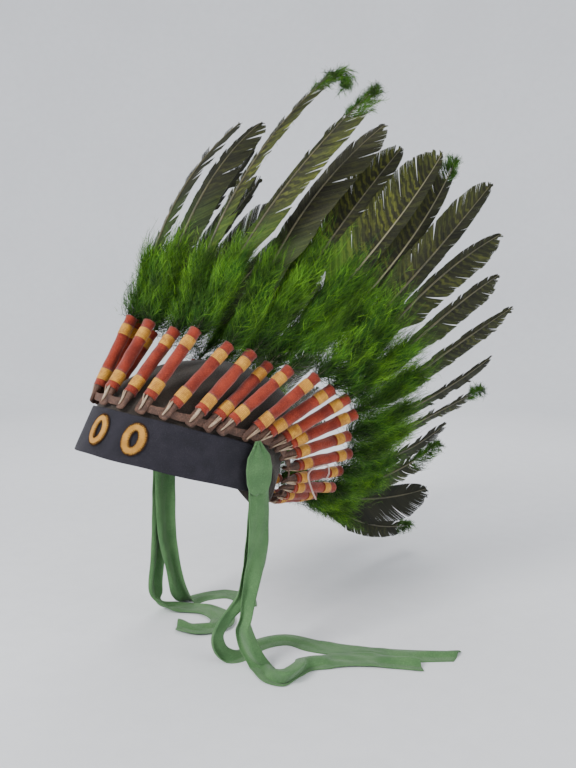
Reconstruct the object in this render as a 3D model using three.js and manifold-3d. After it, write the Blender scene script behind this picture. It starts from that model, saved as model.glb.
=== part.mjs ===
// A feathered headdress: a felt brow band and skull cap carry a ring of wrapped feathers,
// with cotton ties at the ears. Millimetres, +Z up, the wearer faces -Y, wearer's left is +X.
// The origin is the centre of the brow band's ring, at half the band's height.
import * as THREE from 'three';
import ManifoldModule from 'manifold-3d';

const wasm = await ManifoldModule();
wasm.setup();

// ---------------------------------------------------------------- driving sizes
const LEAN_BACK_DEG = 18;          // the whole headdress leans back on the head
const GAP = 0.3;                   // between pieces that touch
const BAND = {
  height: 44, felt: 2.2, endDeg: 103, steps: 22,
  topFront: 107, topSide: 80.5, topShift: 2,
  footFront: 112, footSide: 84, footShift: 4,
};
const CAP = {
  felt: 2, front: 104.4, side: 77.9, shift: 2,
  rimFront: -8, rimUnderQuills: 9, earStartDeg: 94, earEndDeg: 118,
  domeHeight: 70, domeBackSlant: 0.34, domeRoundness: 1, columns: 18, domeRows: 4,
};
const RING = {
  front: 109.3, side: 82.8, shift: 2, height: 22,
  napeDrop: 56, dropStartDeg: 105, dropEndDeg: 185,
};
const WRAP = {
  stubStart: 5, stubRadius: 4, start: 19, end: 98, radius: 6, sides: 6,
  threadRadius: 6.8, threadWidth: 12, lowerThread: 32, upperThread: 82,
};
const LACE = { along: 10, height: 6, thickness: 1.6, run: 4 };
const BLADE = {
  start: 180, free: 205, fullWidth: 245, quillHalf: 1.2, tipHalf: 0.7,
  louvreDeg: 20, fingerRoom: 0.42, tipWidth: 1.5,
  stations: [0, 0.17, 0.43, 0.68, 0.87, 0.96, 1],
  curlStart: 0.86,
};
const DOWN = { outward: 17, inward: 9, crown: 3, lockSides: 3, lockRadius: 7 };
const KINK = { start: 95, end: 150 };
const CLOTH = { thick: 1.2, tabThick: 2.4 };

// ---------------------------------------------------------------- colours
const felt = (name, hex, roughness = 0.95) =>
  new THREE.MeshStandardMaterial({ name, color: hex, roughness, metalness: 0 });
const MATERIAL = {
  band: felt('navy_felt', 0x2b2a35),
  cap: felt('cap_felt', 0x4c443c),
  ornament: felt('golden_felt', 0xd29a3f),
  wrap: felt('red_felt', 0xab3f30),
  feather: felt('dyed_feather', 0x3d5a1e, 0.8),
  tie: felt('green_cotton', 0x567a4e),
  string: felt('pale_string', 0xd9c3bd),
};

// ---------------------------------------------------------------- the ring of feathers
// at: degrees round the band from the brow towards the wearer's left; flare and heading: how far
// the quill leans from the band's axis and which way; length: from the cap to the tip; kink and
// drift: the bend where the blade leaves the wrap; bend and sway: the curve of the blade;
// curl: the extra hook of the tip; wide and narrow: the two halves of the vane, wide on the
// rear edge where rear is 1; turn: the blade's extra turn about its shaft.
const COLUMNS = ['at', 'flare', 'heading', 'length', 'kink', 'drift', 'bend', 'sway', 'curl',
  'wide', 'narrow', 'rear', 'turn'];
const FEATHERS = [
  [-36, 14, 180, 335, 4, 3, 2, 1, 0, 15, 7, 1, 0],
  [-21, 15, 204, 343, -16, 10, 35, 2, 0, 15, 7, 1, -45],
  [4, 21, 200, 355, -21, 11, 37, -8, 0, 20, 8, 1, -45],
  [19, 26, 192, 448, -24, 6, 30, 20, 200, 23, 9, 1, 0],
  [32, 22, 177, 402, -7, -2, 6, 32, 0, 32, 10, 1, 0],
  [45, 30, 172, 394, -17, -11, 18, 25, 0, 30, 14, 1, 0],
  [59, 31, 179, 384, -11, 2, 7, 2, 0, 28, 14, -1, 0],
  [68, 37, 186, 412, -14, 24, 5, -29, 0, 34, 10, -1, -9],
  [75, 37, 171, 419, -5, 6, -10, -20, 0, 28, 10, -1, 0],
  [89, 37, 160, 395, -4, -4, -6, 0, 0, 24, 13, -1, 0],
  [97, 43, 161, 378, -17, -4, 25, -4, 0, 29, 9, 1, 1],
  [108, 46, 158, 346, -12, -3, 19, -15, 0, 28, 9, 1, 0],
  [114, 54, 162, 355, -8, -9, 3, 1, 0, 26, 8, 1, 0],
  [123, 65, 180, 359, -9, 7, -5, -12, 0, 22, 8, 1, 0],
  [134, 70, 181, 345, -11, -1, -3, 6, 0, 24, 8, 1, 0],
  [146, 75, 188, 319, -3, 2, -22, 3, 0, 24, 9, 1, 15],
  [153, 83, 191, 314, -8, 3, -28, 12, 0, 24, 9, 1, 34],
  [163, 86, 202, 338, 3, 14, -21, 12, 0, 28, 12, 1, 60],
  [174, 84, 202, 338, 23, 20, -30, -5, 0, 22, 9, 1, 50],
  [186, 84, 206, 335, 2, 6, -8, 0, 0, 26, 9, 1, 0],
  [198, 82, 209, 330, -6, 4, -6, 0, 0, 26, 9, 1, 0],
  [210, 78, 210, 325, -8, 2, -6, 0, 0, 26, 9, 1, 0],
  [221, 71, 209, 330, -8, 0, -4, 0, 0, 26, 10, 1, 0],
  [232, 64, 207, 335, -7, 0, -2, 0, 0, 28, 10, 1, 0],
  [243, 55, 204, 340, -6, 2, 2, 0, 0, 28, 10, 1, 0],
  [254, 47, 202, 350, -5, 3, 4, 0, 0, 30, 10, 1, 0],
  [265, 41, 199, 355, -4, 2, 4, 0, 0, 30, 10, -1, 0],
  [276, 37, 196, 355, -3, 0, 6, 0, 0, 30, 10, -1, 0],
  [288, 33, 192, 350, -2, -2, 8, 0, 0, 28, 10, -1, 0],
  [300, 28, 188, 340, -2, -3, 8, 0, 0, 26, 10, 1, 0],
  [312, 21, 184, 335, 0, -2, 6, 0, 0, 20, 8, 1, 0],
].map((row) => Object.fromEntries(row.map((value, i) => [COLUMNS[i], value])));

// ---------------------------------------------------------------- small helpers
const rad = THREE.MathUtils.degToRad;
const { lerp, smoothstep } = THREE.MathUtils;
const vec = (x, y, z) => new THREE.Vector3(x, y, z);
const X_AXIS = vec(1, 0, 0);
const pad = (number) => String(number).padStart(2, '0');

// A place on a level oval round the head, in the band's own frame.
function onOval(deg, front, side, shift, height) {
  return vec(side * Math.sin(rad(deg)), -(front * Math.cos(rad(deg)) + shift), height);
}

// Degrees away from the brow, 0 to 180, on either side.
const awayFromBrow = (deg) => Math.abs(((deg + 180) % 360) - 180);

// A closed solid through rows of points. Open runs get a cap at each end.
function loft(rows, closed = false) {
  const count = rows[0].length;
  const positions = rows.flat().flatMap((p) => [p.x, p.y, p.z]);
  const index = [];
  const at = (row, i) => (row % rows.length) * count + (i % count);
  const last = closed ? rows.length : rows.length - 1;
  for (let row = 0; row < last; row += 1) {
    for (let i = 0; i < count; i += 1) {
      index.push(at(row, i), at(row, i + 1), at(row + 1, i));
      index.push(at(row, i + 1), at(row + 1, i + 1), at(row + 1, i));
    }
  }
  if (!closed) {
    for (let i = 1; i < count - 1; i += 1) {
      index.push(at(0, 0), at(0, i + 1), at(0, i));
      index.push(at(last, 0), at(last, i), at(last, i + 1));
    }
  }
  const geometry = new THREE.BufferGeometry();
  geometry.setAttribute('position', new THREE.Float32BufferAttribute(positions, 3));
  geometry.setIndex(index);
  return outward(geometry);
}

// Turn every face round if the solid came out inside out.
function outward(geometry) {
  const p = geometry.attributes.position;
  const index = geometry.index.array;
  const [a, b, c] = [vec(), vec(), vec()];
  let volume = 0;
  for (let i = 0; i < index.length; i += 3) {
    a.fromBufferAttribute(p, index[i]);
    b.fromBufferAttribute(p, index[i + 1]);
    c.fromBufferAttribute(p, index[i + 2]);
    volume += a.dot(b.cross(c));
  }
  if (volume < 0) geometry.setIndex(Array.from(index).reverse());
  return geometry;
}

// three.js geometry to manifold and back.
function toManifold(geometry) {
  const mesh = new wasm.Mesh({
    numProp: 3,
    vertProperties: Float32Array.from(geometry.attributes.position.array),
    triVerts: Uint32Array.from(geometry.index.array),
  });
  mesh.merge();
  return new wasm.Manifold(mesh);
}

function fuse(geometries) {
  const mesh = wasm.Manifold.union(geometries.map(toManifold)).getMesh();
  const positions = [];
  for (let i = 0; i < mesh.numVert; i += 1) positions.push(...mesh.position(i));
  const geometry = new THREE.BufferGeometry();
  geometry.setAttribute('position', new THREE.Float32BufferAttribute(positions, 3));
  geometry.setIndex(Array.from(mesh.triVerts));
  return geometry;
}

function piece(name, geometry, material) {
  geometry.computeVertexNormals();
  const mesh = new THREE.Mesh(geometry, material.clone());
  mesh.name = name;
  return mesh;
}

// ---------------------------------------------------------------- brow band
// A point of the band: rise runs from 0 at the foot to 1 at the top edge, depth goes inwards.
function onBand(deg, rise, depth) {
  return onOval(deg,
    lerp(BAND.footFront, BAND.topFront, rise) - depth,
    lerp(BAND.footSide, BAND.topSide, rise) - depth,
    lerp(BAND.footShift, BAND.topShift, rise),
    (rise - 0.5) * BAND.height);
}

function browBand() {
  const rows = [];
  for (let i = 0; i <= BAND.steps; i += 1) {
    const deg = lerp(-BAND.endDeg, BAND.endDeg, i / BAND.steps);
    rows.push([[0, 0], [1, 0], [1, BAND.felt], [0, BAND.felt]]
      .map(([rise, depth]) => onBand(deg, rise, depth)));
  }
  return piece('brow_band', loft(rows), MATERIAL.band);
}

// A plain oval ring of felt, sewn flat on the band.
const ORNAMENT = { halfWidth: 11, halfHeight: 14.5, stroke: 7, thick: 1.8, steps: 12 };
function ornament(name, deg, rise) {
  const rows = [];
  const perDegree = rad(1) * (BAND.topFront + BAND.topSide) / 2;
  for (let i = 0; i < ORNAMENT.steps; i += 1) {
    const turn = (i / ORNAMENT.steps) * 2 * Math.PI;
    const corner = (inset, depth) => onBand(
      deg + ((ORNAMENT.halfWidth - inset) * Math.cos(turn)) / perDegree,
      rise + ((ORNAMENT.halfHeight - inset) * Math.sin(turn)) / BAND.height,
      depth);
    const back = -2 * GAP;
    const front = back - ORNAMENT.thick;
    rows.push([corner(0, back), corner(0, front),
      corner(ORNAMENT.stroke, front), corner(ORNAMENT.stroke, back)]);
  }
  return piece(name, loft(rows, true), MATERIAL.ornament);
}

// ---------------------------------------------------------------- skull cap
function ringHeight(deg) {
  const drop = smoothstep(awayFromBrow(deg), RING.dropStartDeg, RING.dropEndDeg);
  return RING.height - RING.napeDrop * drop;
}

function capRimHeight(deg) {
  const underQuills = ringHeight(deg) - CAP.rimUnderQuills;
  return lerp(CAP.rimFront, underQuills,
    smoothstep(awayFromBrow(deg), CAP.earStartDeg, CAP.earEndDeg));
}

// Row 0 is the rim, row 1 the level of the band's top, the rest climb the dome.
function onCap(deg, row, depth) {
  if (row === 0) {
    return onOval(deg, CAP.front - depth, CAP.side - depth, CAP.shift, capRimHeight(deg));
  }
  const climb = ((row - 1) / CAP.domeRows) * (Math.PI / 2);
  const reach = Math.cos(climb) ** CAP.domeRoundness;
  const rise = (CAP.domeHeight - depth) * Math.sin(climb);
  return onOval(deg, (CAP.front - depth) * reach, (CAP.side - depth) * reach,
    CAP.shift - CAP.domeBackSlant * rise, RING.height + rise);
}

function feltCap() {
  const rows = [];
  const ring = (row, depth) => Array.from({ length: CAP.columns },
    (_, i) => onCap((i * 360) / CAP.columns, row, depth));
  const topRow = CAP.domeRows;
  const tipRing = (depth) => {
    const apex = onCap(0, topRow + 1, depth);
    return ring(topRow, depth).map((p) => p.clone().lerp(apex, 0.96));
  };
  rows.push(tipRing(0));
  for (let row = topRow; row >= 0; row -= 1) rows.push(ring(row, 0));
  for (let row = 0; row <= topRow; row += 1) rows.push(ring(row, CAP.felt));
  rows.push(tipRing(CAP.felt));
  return piece('felt_cap', loft(rows), MATERIAL.cap);
}

// ---------------------------------------------------------------- feather paths
const quillFoot = (f) => onOval(f.at, RING.front, RING.side, RING.shift, ringHeight(f.at));

function quillDirection(f) {
  const lean = Math.sin(rad(f.flare));
  return vec(lean * Math.sin(rad(f.heading)), -lean * Math.cos(rad(f.heading)),
    Math.cos(rad(f.flare)));
}

// Turn a direction back over the head, then out towards the wearer's left.
function turned(direction, back, left) {
  const v = direction.clone().applyAxisAngle(X_AXIS, -rad(back));
  const side = X_AXIS.clone().addScaledVector(v, -v.x).normalize();
  return v.multiplyScalar(Math.cos(rad(left))).addScaledVector(side, Math.sin(rad(left)));
}

function headingAt(f, along) {
  const kink = smoothstep(along, KINK.start, KINK.end);
  const free = Math.max(0, (along - KINK.end) / (f.length - KINK.end));
  const hook = f.curl * smoothstep(free, BLADE.curlStart, 1);
  return turned(quillDirection(f), f.kink * kink + f.bend * free + hook,
    f.drift * kink + f.sway * free);
}

// The shaft as places 5 mm apart, each with its way on.
const STEP = 5;
function shaftOf(f) {
  const points = [quillFoot(f)];
  for (let along = 0; along < f.length; along += STEP) {
    const onward = headingAt(f, along + STEP / 2);
    points.push(points.at(-1).clone().addScaledVector(onward, STEP));
  }
  return points;
}
FEATHERS.forEach((f) => { f.shaft = shaftOf(f); });

function placeAt(f, along) {
  const t = Math.min(along / STEP, f.shaft.length - 1.001);
  const i = Math.floor(t);
  return f.shaft[i].clone().lerp(f.shaft[i + 1], t - i);
}

// Sideways room between a feather and its nearer neighbour.
function roomAt(number, along) {
  const here = placeAt(FEATHERS[number], along);
  const count = FEATHERS.length;
  const others = [FEATHERS[(number + 1) % count], FEATHERS[(number + count - 1) % count]];
  return Math.min(...others.flatMap((f) => f.shaft.map((p) => p.distanceTo(here))));
}

// The blade's own axes: onward along the shaft, across towards the rear edge, outward.
function axesAt(f, along, louvre) {
  const onward = headingAt(f, along);
  const round = vec(RING.side * Math.cos(rad(f.at)), RING.front * Math.sin(rad(f.at)), 0);
  const flat = round.addScaledVector(onward, -round.dot(onward)).normalize();
  const out = flat.clone().cross(onward);
  const c = Math.cos(rad(louvre));
  const s = Math.sin(rad(louvre));
  return {
    onward,
    across: flat.clone().multiplyScalar(c).addScaledVector(out, s),
    out: out.clone().multiplyScalar(c).addScaledVector(flat, -s),
    flat,
    plainOut: out,
  };
}

// ---------------------------------------------------------------- wrapped quills
function wrapProfile() {
  const thread = (middle) => {
    const half = WRAP.threadWidth / 2;
    return [[WRAP.radius, middle - half], [WRAP.threadRadius, middle],
      [WRAP.radius, middle + half]];
  };
  return [[0, WRAP.stubStart], [WRAP.stubRadius, WRAP.stubStart], [WRAP.radius, WRAP.start],
    ...thread(WRAP.lowerThread), ...thread(WRAP.upperThread),
    [WRAP.radius, WRAP.end], [0, WRAP.end]].map(([x, y]) => new THREE.Vector2(x, y));
}

function wrapSolid(f) {
  const geometry = new THREE.LatheGeometry(wrapProfile(), WRAP.sides);
  geometry.applyQuaternion(new THREE.Quaternion().setFromUnitVectors(vec(0, 1, 0),
    quillDirection(f)));
  const foot = quillFoot(f);
  return geometry.translate(foot.x, foot.y, foot.z);
}

// The leather lace that runs through the quill ends of one run of feathers.
function laceSolid(run) {
  const rows = run.map((f) => {
    const middle = quillFoot(f).addScaledVector(quillDirection(f), LACE.along);
    const out = onOval(f.at, RING.side, RING.front, 0, 0).normalize();
    return [[-1, -1], [1, -1], [1, 1], [-1, 1]].map(([o, u]) => middle.clone()
      .addScaledVector(out, (o * LACE.thickness) / 2)
      .addScaledVector(vec(0, 0, 1), (u * LACE.height) / 2));
  });
  return loft(rows);
}

function wrappedRuns() {
  const runs = [];
  for (let first = 0; first < FEATHERS.length; first += LACE.run) {
    const run = FEATHERS.slice(first, first + LACE.run);
    const solid = fuse([...run.map(wrapSolid), laceSolid(run)]);
    runs.push(piece(`wrapped_quills_${pad(runs.length + 1)}`, solid, MATERIAL.wrap));
  }
  return runs;
}

// ---------------------------------------------------------------- feathers
// Share of the full vane width: the tip is rounded off.
function vaneShare(station) {
  const tip = Math.max(0, (station - 0.62) / 0.38);
  return Math.sqrt(Math.max(0, 1 - tip ** 2.2));
}

function bladeSolid(number) {
  const f = FEATHERS[number];
  const louvre = BLADE.louvreDeg + f.turn;
  const rows = BLADE.stations.map((station) => {
    const along = lerp(BLADE.start, f.length, station);
    const axes = axesAt(f, along, louvre);
    const spread = smoothstep(along, BLADE.free, BLADE.fullWidth);
    const inDown = BLADE.fingerRoom * roomAt(number, along);
    const width = (full) => Math.max(BLADE.tipWidth / 2,
      lerp(Math.min(inDown, full), full, spread) * vaneShare(station));
    const rear = width(f.rear > 0 ? f.wide : f.narrow);
    const fore = width(f.rear > 0 ? f.narrow : f.wide);
    const half = lerp(BLADE.quillHalf, BLADE.tipHalf, station);
    const middle = placeAt(f, along);
    return [[rear, 0], [0, half], [-fore, 0], [0, -half]].map(([side, out]) => middle.clone()
      .addScaledVector(axes.across, side).addScaledVector(axes.out, out));
  });
  return loft(rows);
}

// The body of the downy tuft: along, and its half sizes as shares of the full ones.
const TUFT_ROWS = [[100.3, 0.3, 0.25], [122, 0.95, 0.85], [160, 1, 0.9], [208, 0.12, 0.1]];
const TUFT_SIDES = 5;
// The tuft's pointed locks: where each leaves the shaft, its length and how far it stands out.
const LOCKS = [[116, 46, 0.8], [138, 50, 0.5]];

function tuftSolids(number) {
  const f = FEATHERS[number];
  const rows = TUFT_ROWS.map(([along, wide, deep]) => {
    const axes = axesAt(f, along, 0);
    const side = Math.max(2, Math.min(16, BLADE.fingerRoom * roomAt(number, along)) * wide);
    const middle = placeAt(f, along).addScaledVector(axes.plainOut, DOWN.crown * deep);
    return Array.from({ length: TUFT_SIDES }, (_, i) => {
      const turn = (i / TUFT_SIDES) * 2 * Math.PI;
      const depth = Math.sin(turn) > 0 ? DOWN.outward : DOWN.inward;
      return middle.clone().addScaledVector(axes.flat, side * Math.cos(turn))
        .addScaledVector(axes.plainOut, deep * depth * Math.sin(turn));
    });
  });
  const locks = LOCKS.map(([along, length, standing]) => {
    const axes = axesAt(f, along, 0);
    const way = axes.onward.clone().addScaledVector(axes.plainOut, standing).normalize();
    const start = placeAt(f, along);
    const radius = Math.min(DOWN.lockRadius, 0.6 * BLADE.fingerRoom * roomAt(number, along));
    const ring = (reach, size) => Array.from({ length: DOWN.lockSides }, (_, i) => {
      const turn = (i / DOWN.lockSides) * 2 * Math.PI;
      return start.clone().addScaledVector(way, reach * length)
        .addScaledVector(axes.flat, size * Math.cos(turn))
        .addScaledVector(axes.plainOut, size * Math.sin(turn));
    });
    return loft([ring(0, radius), ring(1, 0.5)]);
  });
  return [loft(rows), ...locks];
}

function feather(number) {
  return piece(`feather_${pad(number + 1)}`, fuse([bladeSolid(number), ...tuftSolids(number)]),
    MATERIAL.feather);
}

// ---------------------------------------------------------------- cotton ties
// Each strip is a route by hand: place, then the way its width lies (turn from +X in degrees,
// tilt from level) and its width. Places are on the wearer's left, in the upright frame.
const STRIP_COLUMNS = ['x', 'y', 'z', 'turn', 'tilt', 'width'];
const strip = (rows) => rows.map((row) =>
  Object.fromEntries(row.map((value, i) => [STRIP_COLUMNS[i], value])));

const LEFT_TAB = strip([
  [89.0, 24, 15, 98, 0, 14], [88.4, 24, 8, 98, 0, 26], [88.2, 23, -2, 98, 0, 30],
  [88.8, 22, -16, 98, 0, 28], [89.4, 21, -26, 98, 0, 18], [89.6, 21, -30, 98, 0, 8],
]);
const LEFT_FRONT = strip([
  [88.0, 21, -20, 98, 0, 26], [88, 20, -62, 98, 0, 27], [88, 18, -94, 96, 0, 26],
  [88, 12, -118, 92, 0, 19], [88, 5, -147, 84, 0, 12], [88, 2, -160, 60, 0, 16],
  [91, 7, -181, 40, 0, 22], [100, 14, -194.6, 60, 0, 22], [121, 8, -192.6, 100, 20, 20],
  [138, 12, -189, 150, 60, 16], [134, 32, -189, 200, 60, 15], [126, 48, -192, 190, 25, 20],
  [132, 74, -194.7, 150, 0, 27], [150, 100, -194.7, 135, 0, 28], [172, 119, -194.7, 132, 0, 24],
  [194, 133, -194.7, 120, 0, 17],
]);
const LEFT_REAR = strip([
  [87.1, 22, -20, 98, 0, 24], [85, 20, -62, 98, 0, 24], [82.5, 16, -100, 98, 0, 20],
  [80, 8, -130, 100, 0, 14], [72, -8, -150, 120, 20, 13], [64, -12, -170, 130, 30, 14],
  [62, -4, -187, 150, 24, 16], [66, 12, -195.6, 170, 4, 20], [57, 42, -196.4, 190, 0, 24],
  [66, 72, -196.4, 150, 0, 26], [98, 86, -196.4, 112, 0, 27], [138, 112, -196.4, 125, 0, 27],
  [170, 140, -196.4, 130, 0, 26], [203, 178, -196.4, 130, 0, 22],
]);
const RIGHT_FRONT = strip([
  [88.0, 21, -20, 98, 0, 26], [88, 20, -62, 98, 0, 27], [88, 16, -100, 96, 0, 24],
  [86, 8, -140, 92, 0, 18], [84, 4, -170, 80, 0, 20], [82, 12, -189, 20, 0, 23],
  [74, 30, -194.8, 40, 0, 26], [50, 50, -194.8, 80, 0, 27], [22, 52, -194.8, 100, 0, 27],
  [4, 36, -194.8, 160, 0, 26], [12, 12, -194.8, 200, 0, 26], [34, 2, -194.8, 240, 0, 22],
]);
const RIGHT_REAR = strip([
  [87.1, 22, -20, 98, 0, 24], [85, 20, -62, 98, 0, 24], [82.5, 20, -110, 98, 0, 22],
  [80, 26, -150, 100, 0, 18], [80, 34, -178, 120, 0, 20], [84, 48, -194, 160, 0, 24],
  [86, 70, -196.4, 170, 0, 26], [76, 96, -196.4, 210, 0, 27], [50, 104, -196.4, 260, 0, 27],
  [26, 90, -196.4, 300, 0, 24],
]);

function stripSolid(rows, thick) {
  const curve = new THREE.CatmullRomCurve3(rows.map((r) => vec(r.x, r.y, r.z)),
    false, 'centripetal');
  const steps = rows.length - 1;
  const sections = Array.from({ length: steps + 1 }, (_, k) => {
    const t = k / steps;
    const i = Math.min(Math.floor(t * (rows.length - 1)), rows.length - 2);
    const u = t * (rows.length - 1) - i;
    const mix = (column) => lerp(rows[i][column], rows[i + 1][column], u);
    const level = vec(Math.cos(rad(mix('turn'))), Math.sin(rad(mix('turn'))), 0);
    const across = level.multiplyScalar(Math.cos(rad(mix('tilt'))))
      .add(vec(0, 0, Math.sin(rad(mix('tilt')))));
    const normal = curve.getTangent(t).cross(across).normalize();
    const middle = curve.getPoint(t);
    return [[-1, -1], [1, -1], [1, 1], [-1, 1]].map(([a, b]) => middle.clone()
      .addScaledVector(across, (a * mix('width')) / 2)
      .addScaledVector(normal, (b * thick) / 2));
  });
  return loft(sections);
}

function tie(name, strips, mirror) {
  const solid = fuse(strips.map(([rows, thick]) => {
    const geometry = stripSolid(rows, thick);
    return outward(geometry.scale(mirror, 1, 1));
  }));
  return piece(name, solid, MATERIAL.tie);
}

// ---------------------------------------------------------------- loose string end
const STRING_RADIUS = 1;
const STRING_ROUTE = [
  [43, 148.5, -42.4], [53.8, 142.8, -33], [62.9, 132.1, -21.8], [65, 120, -20.3],
  [65.9, 109.3, -21.1], [67, 102.1, -24.3], [67.8, 100.4, -29.2], [66.8, 103.1, -35.6],
  [64.6, 107.7, -42.6], [62.1, 112.8, -49.8], [62.2, 116.4, -56.3],
];

function stringEnd() {
  const circle = new THREE.Shape().absarc(0, 0, STRING_RADIUS, 0, 2 * Math.PI);
  const curve = new THREE.CatmullRomCurve3(STRING_ROUTE.map(([x, y, z]) => vec(x, y, z)));
  const geometry = new THREE.ExtrudeGeometry(circle,
    { steps: 14, curveSegments: 2, extrudePath: curve, bevelEnabled: false });
  return piece('string_end', geometry, MATERIAL.string);
}

// ---------------------------------------------------------------- assembly
const headdress = new THREE.Group();
const leaning = new THREE.Group();
leaning.rotation.x = -rad(LEAN_BACK_DEG);
leaning.add(feltCap(), browBand(), ornament('band_ornament_right', 10, 0.54),
  ornament('band_ornament_left', 35, 0.52), ...wrappedRuns(),
  ...FEATHERS.map((_, number) => feather(number)));
headdress.add(leaning,
  tie('tie_left', [[LEFT_TAB, CLOTH.tabThick], [LEFT_FRONT, CLOTH.thick],
    [LEFT_REAR, CLOTH.thick]], 1),
  tie('tie_right', [[LEFT_TAB, CLOTH.tabThick], [RIGHT_FRONT, CLOTH.thick],
    [RIGHT_REAR, CLOTH.thick]], -1),
  stringEnd());

export default headdress;
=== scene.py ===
import bpy
import numpy as np
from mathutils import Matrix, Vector


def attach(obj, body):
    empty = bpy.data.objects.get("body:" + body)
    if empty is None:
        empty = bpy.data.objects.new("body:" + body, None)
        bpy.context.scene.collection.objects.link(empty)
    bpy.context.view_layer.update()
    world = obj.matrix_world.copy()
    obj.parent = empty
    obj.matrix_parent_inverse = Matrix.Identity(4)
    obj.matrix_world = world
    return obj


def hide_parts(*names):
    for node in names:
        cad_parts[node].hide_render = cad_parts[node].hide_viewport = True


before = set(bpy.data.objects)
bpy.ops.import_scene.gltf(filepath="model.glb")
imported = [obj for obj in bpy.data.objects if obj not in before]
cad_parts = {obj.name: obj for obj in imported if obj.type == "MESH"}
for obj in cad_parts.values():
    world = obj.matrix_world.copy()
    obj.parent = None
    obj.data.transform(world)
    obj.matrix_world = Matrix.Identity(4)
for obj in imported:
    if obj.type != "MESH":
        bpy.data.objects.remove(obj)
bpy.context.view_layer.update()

# ---------------------------------------------------------------- camera
# It stands at the wearer's left front, a little above the brow, looking slightly down.
CAMERA_PLACE = (0.6361, -0.4039, 0.1452)
CAMERA_LOOK = (-0.76212, 0.6395, -0.10106)

camera_data = bpy.data.cameras.new("camera")
camera_data.lens = 35
camera_data.sensor_width = 36
camera = bpy.data.objects.new("camera", camera_data)
camera.location = CAMERA_PLACE
camera.rotation_euler = Vector(CAMERA_LOOK).to_track_quat("-Z", "Y").to_euler()
bpy.context.scene.collection.objects.link(camera)
bpy.context.scene.camera = camera

# ---------------------------------------------------------------- loose string end
# A left-over end of pale two-ply string at the nape. It comes out between the wrapped quills,
# loops over them and hangs free to its cut end.
MM = 0.001
STRING_RADIUS = 1.0 * MM
STRING_TWIST = 7.0 * MM      # length of one full turn of the two plies
STRING_ROUTE = np.array([
    (43, 148.5, -42.4), (53.8, 142.8, -33), (62.9, 132.1, -21.8), (65, 120, -20.3),
    (65.9, 109.3, -21.1), (67, 102.1, -24.3), (67.8, 100.4, -29.2), (66.8, 103.1, -35.6),
    (64.6, 107.7, -42.6), (62.1, 112.8, -49.8), (62.2, 116.4, -56.3)]) * MM
STRING_SIDES = 14
FIRST_SIDE = (0.31, 0.22, 0.92)      # no tube runs this way: its rings are set square to it


def smooth_route(rows, per_span):
    """Rows of any columns joined by a Catmull-Rom curve, per_span points to each span."""
    ends = np.vstack([2 * rows[0] - rows[1], rows, 2 * rows[-1] - rows[-2]])
    t = (np.arange(per_span) / per_span)[None, :, None]
    a, b, c, d = (ends[i:len(ends) - 3 + i, None, :] for i in range(4))
    curve = 0.5 * (2 * b + (c - a) * t + (2 * a - 5 * b + 4 * c - d) * t**2
                   + (3 * b - a - 3 * c + d) * t**3)
    return np.vstack([curve.reshape(-1, rows.shape[1]), rows[-1:]])


def unit(vectors):
    """Each vector divided by its own length."""
    return vectors / np.maximum(np.linalg.norm(vectors, axis=-1, keepdims=True), 1e-12)


def lattice(rows, columns, wrap_rows=False, wrap_columns=False, copies=1):
    """Four-sided faces between neighbours of a rows by columns grid of points, for a number
    of equal grids that follow each other."""
    r = np.arange(rows if wrap_rows else rows - 1)[:, None]
    c = np.arange(columns if wrap_columns else columns - 1)[None, :]
    up, right = (r + 1) % rows, (c + 1) % columns
    one = np.stack([r * columns + c, r * columns + right, up * columns + right,
                    up * columns + c], -1).reshape(-1, 4)
    shift = (np.arange(copies) * rows * columns)[:, None, None]
    return (one[None] + shift).reshape(-1, 4)


def tube_faces(rings, sides, finish=0):
    """Walls and two end caps of one tube of rings of points, each with a material number."""
    ring = np.arange(sides)[None]
    return [(lattice(rings, sides, wrap_columns=True), finish), (ring[:, ::-1], finish),
            ((rings - 1) * sides + ring, finish)]


def tubes(lines, radius, sides, closed=False):
    """Round tubes along lines of points, shape (tubes, points, 3): each ring is radius times
    cosine and sine of the turn in the plane square to the line. Open tubes get end caps."""
    count, long = lines.shape[:2]
    if closed:
        onward = unit(np.roll(lines, -1, 1) - np.roll(lines, 1, 1))
    else:
        onward = unit(np.gradient(lines, axis=1))
    side = unit(np.cross(onward, np.broadcast_to(FIRST_SIDE, onward.shape)))
    up = np.cross(side, onward)
    turn = np.arange(sides) / sides * 2 * np.pi
    radius = np.broadcast_to(radius, (count, long, sides))[..., None]
    ring = (side[:, :, None] * np.cos(turn)[:, None] + up[:, :, None] * np.sin(turn)[:, None])
    points = (lines[:, :, None] + radius * ring).reshape(-1, 3)
    faces = [lattice(long, sides, closed, True, count)[:, ::-1]]
    if not closed:
        first = (np.arange(count) * long * sides)[:, None]
        faces += [first + np.arange(sides)[None], first + (long - 1) * sides
                  + np.arange(sides)[None, ::-1]]
    return points, faces


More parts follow.
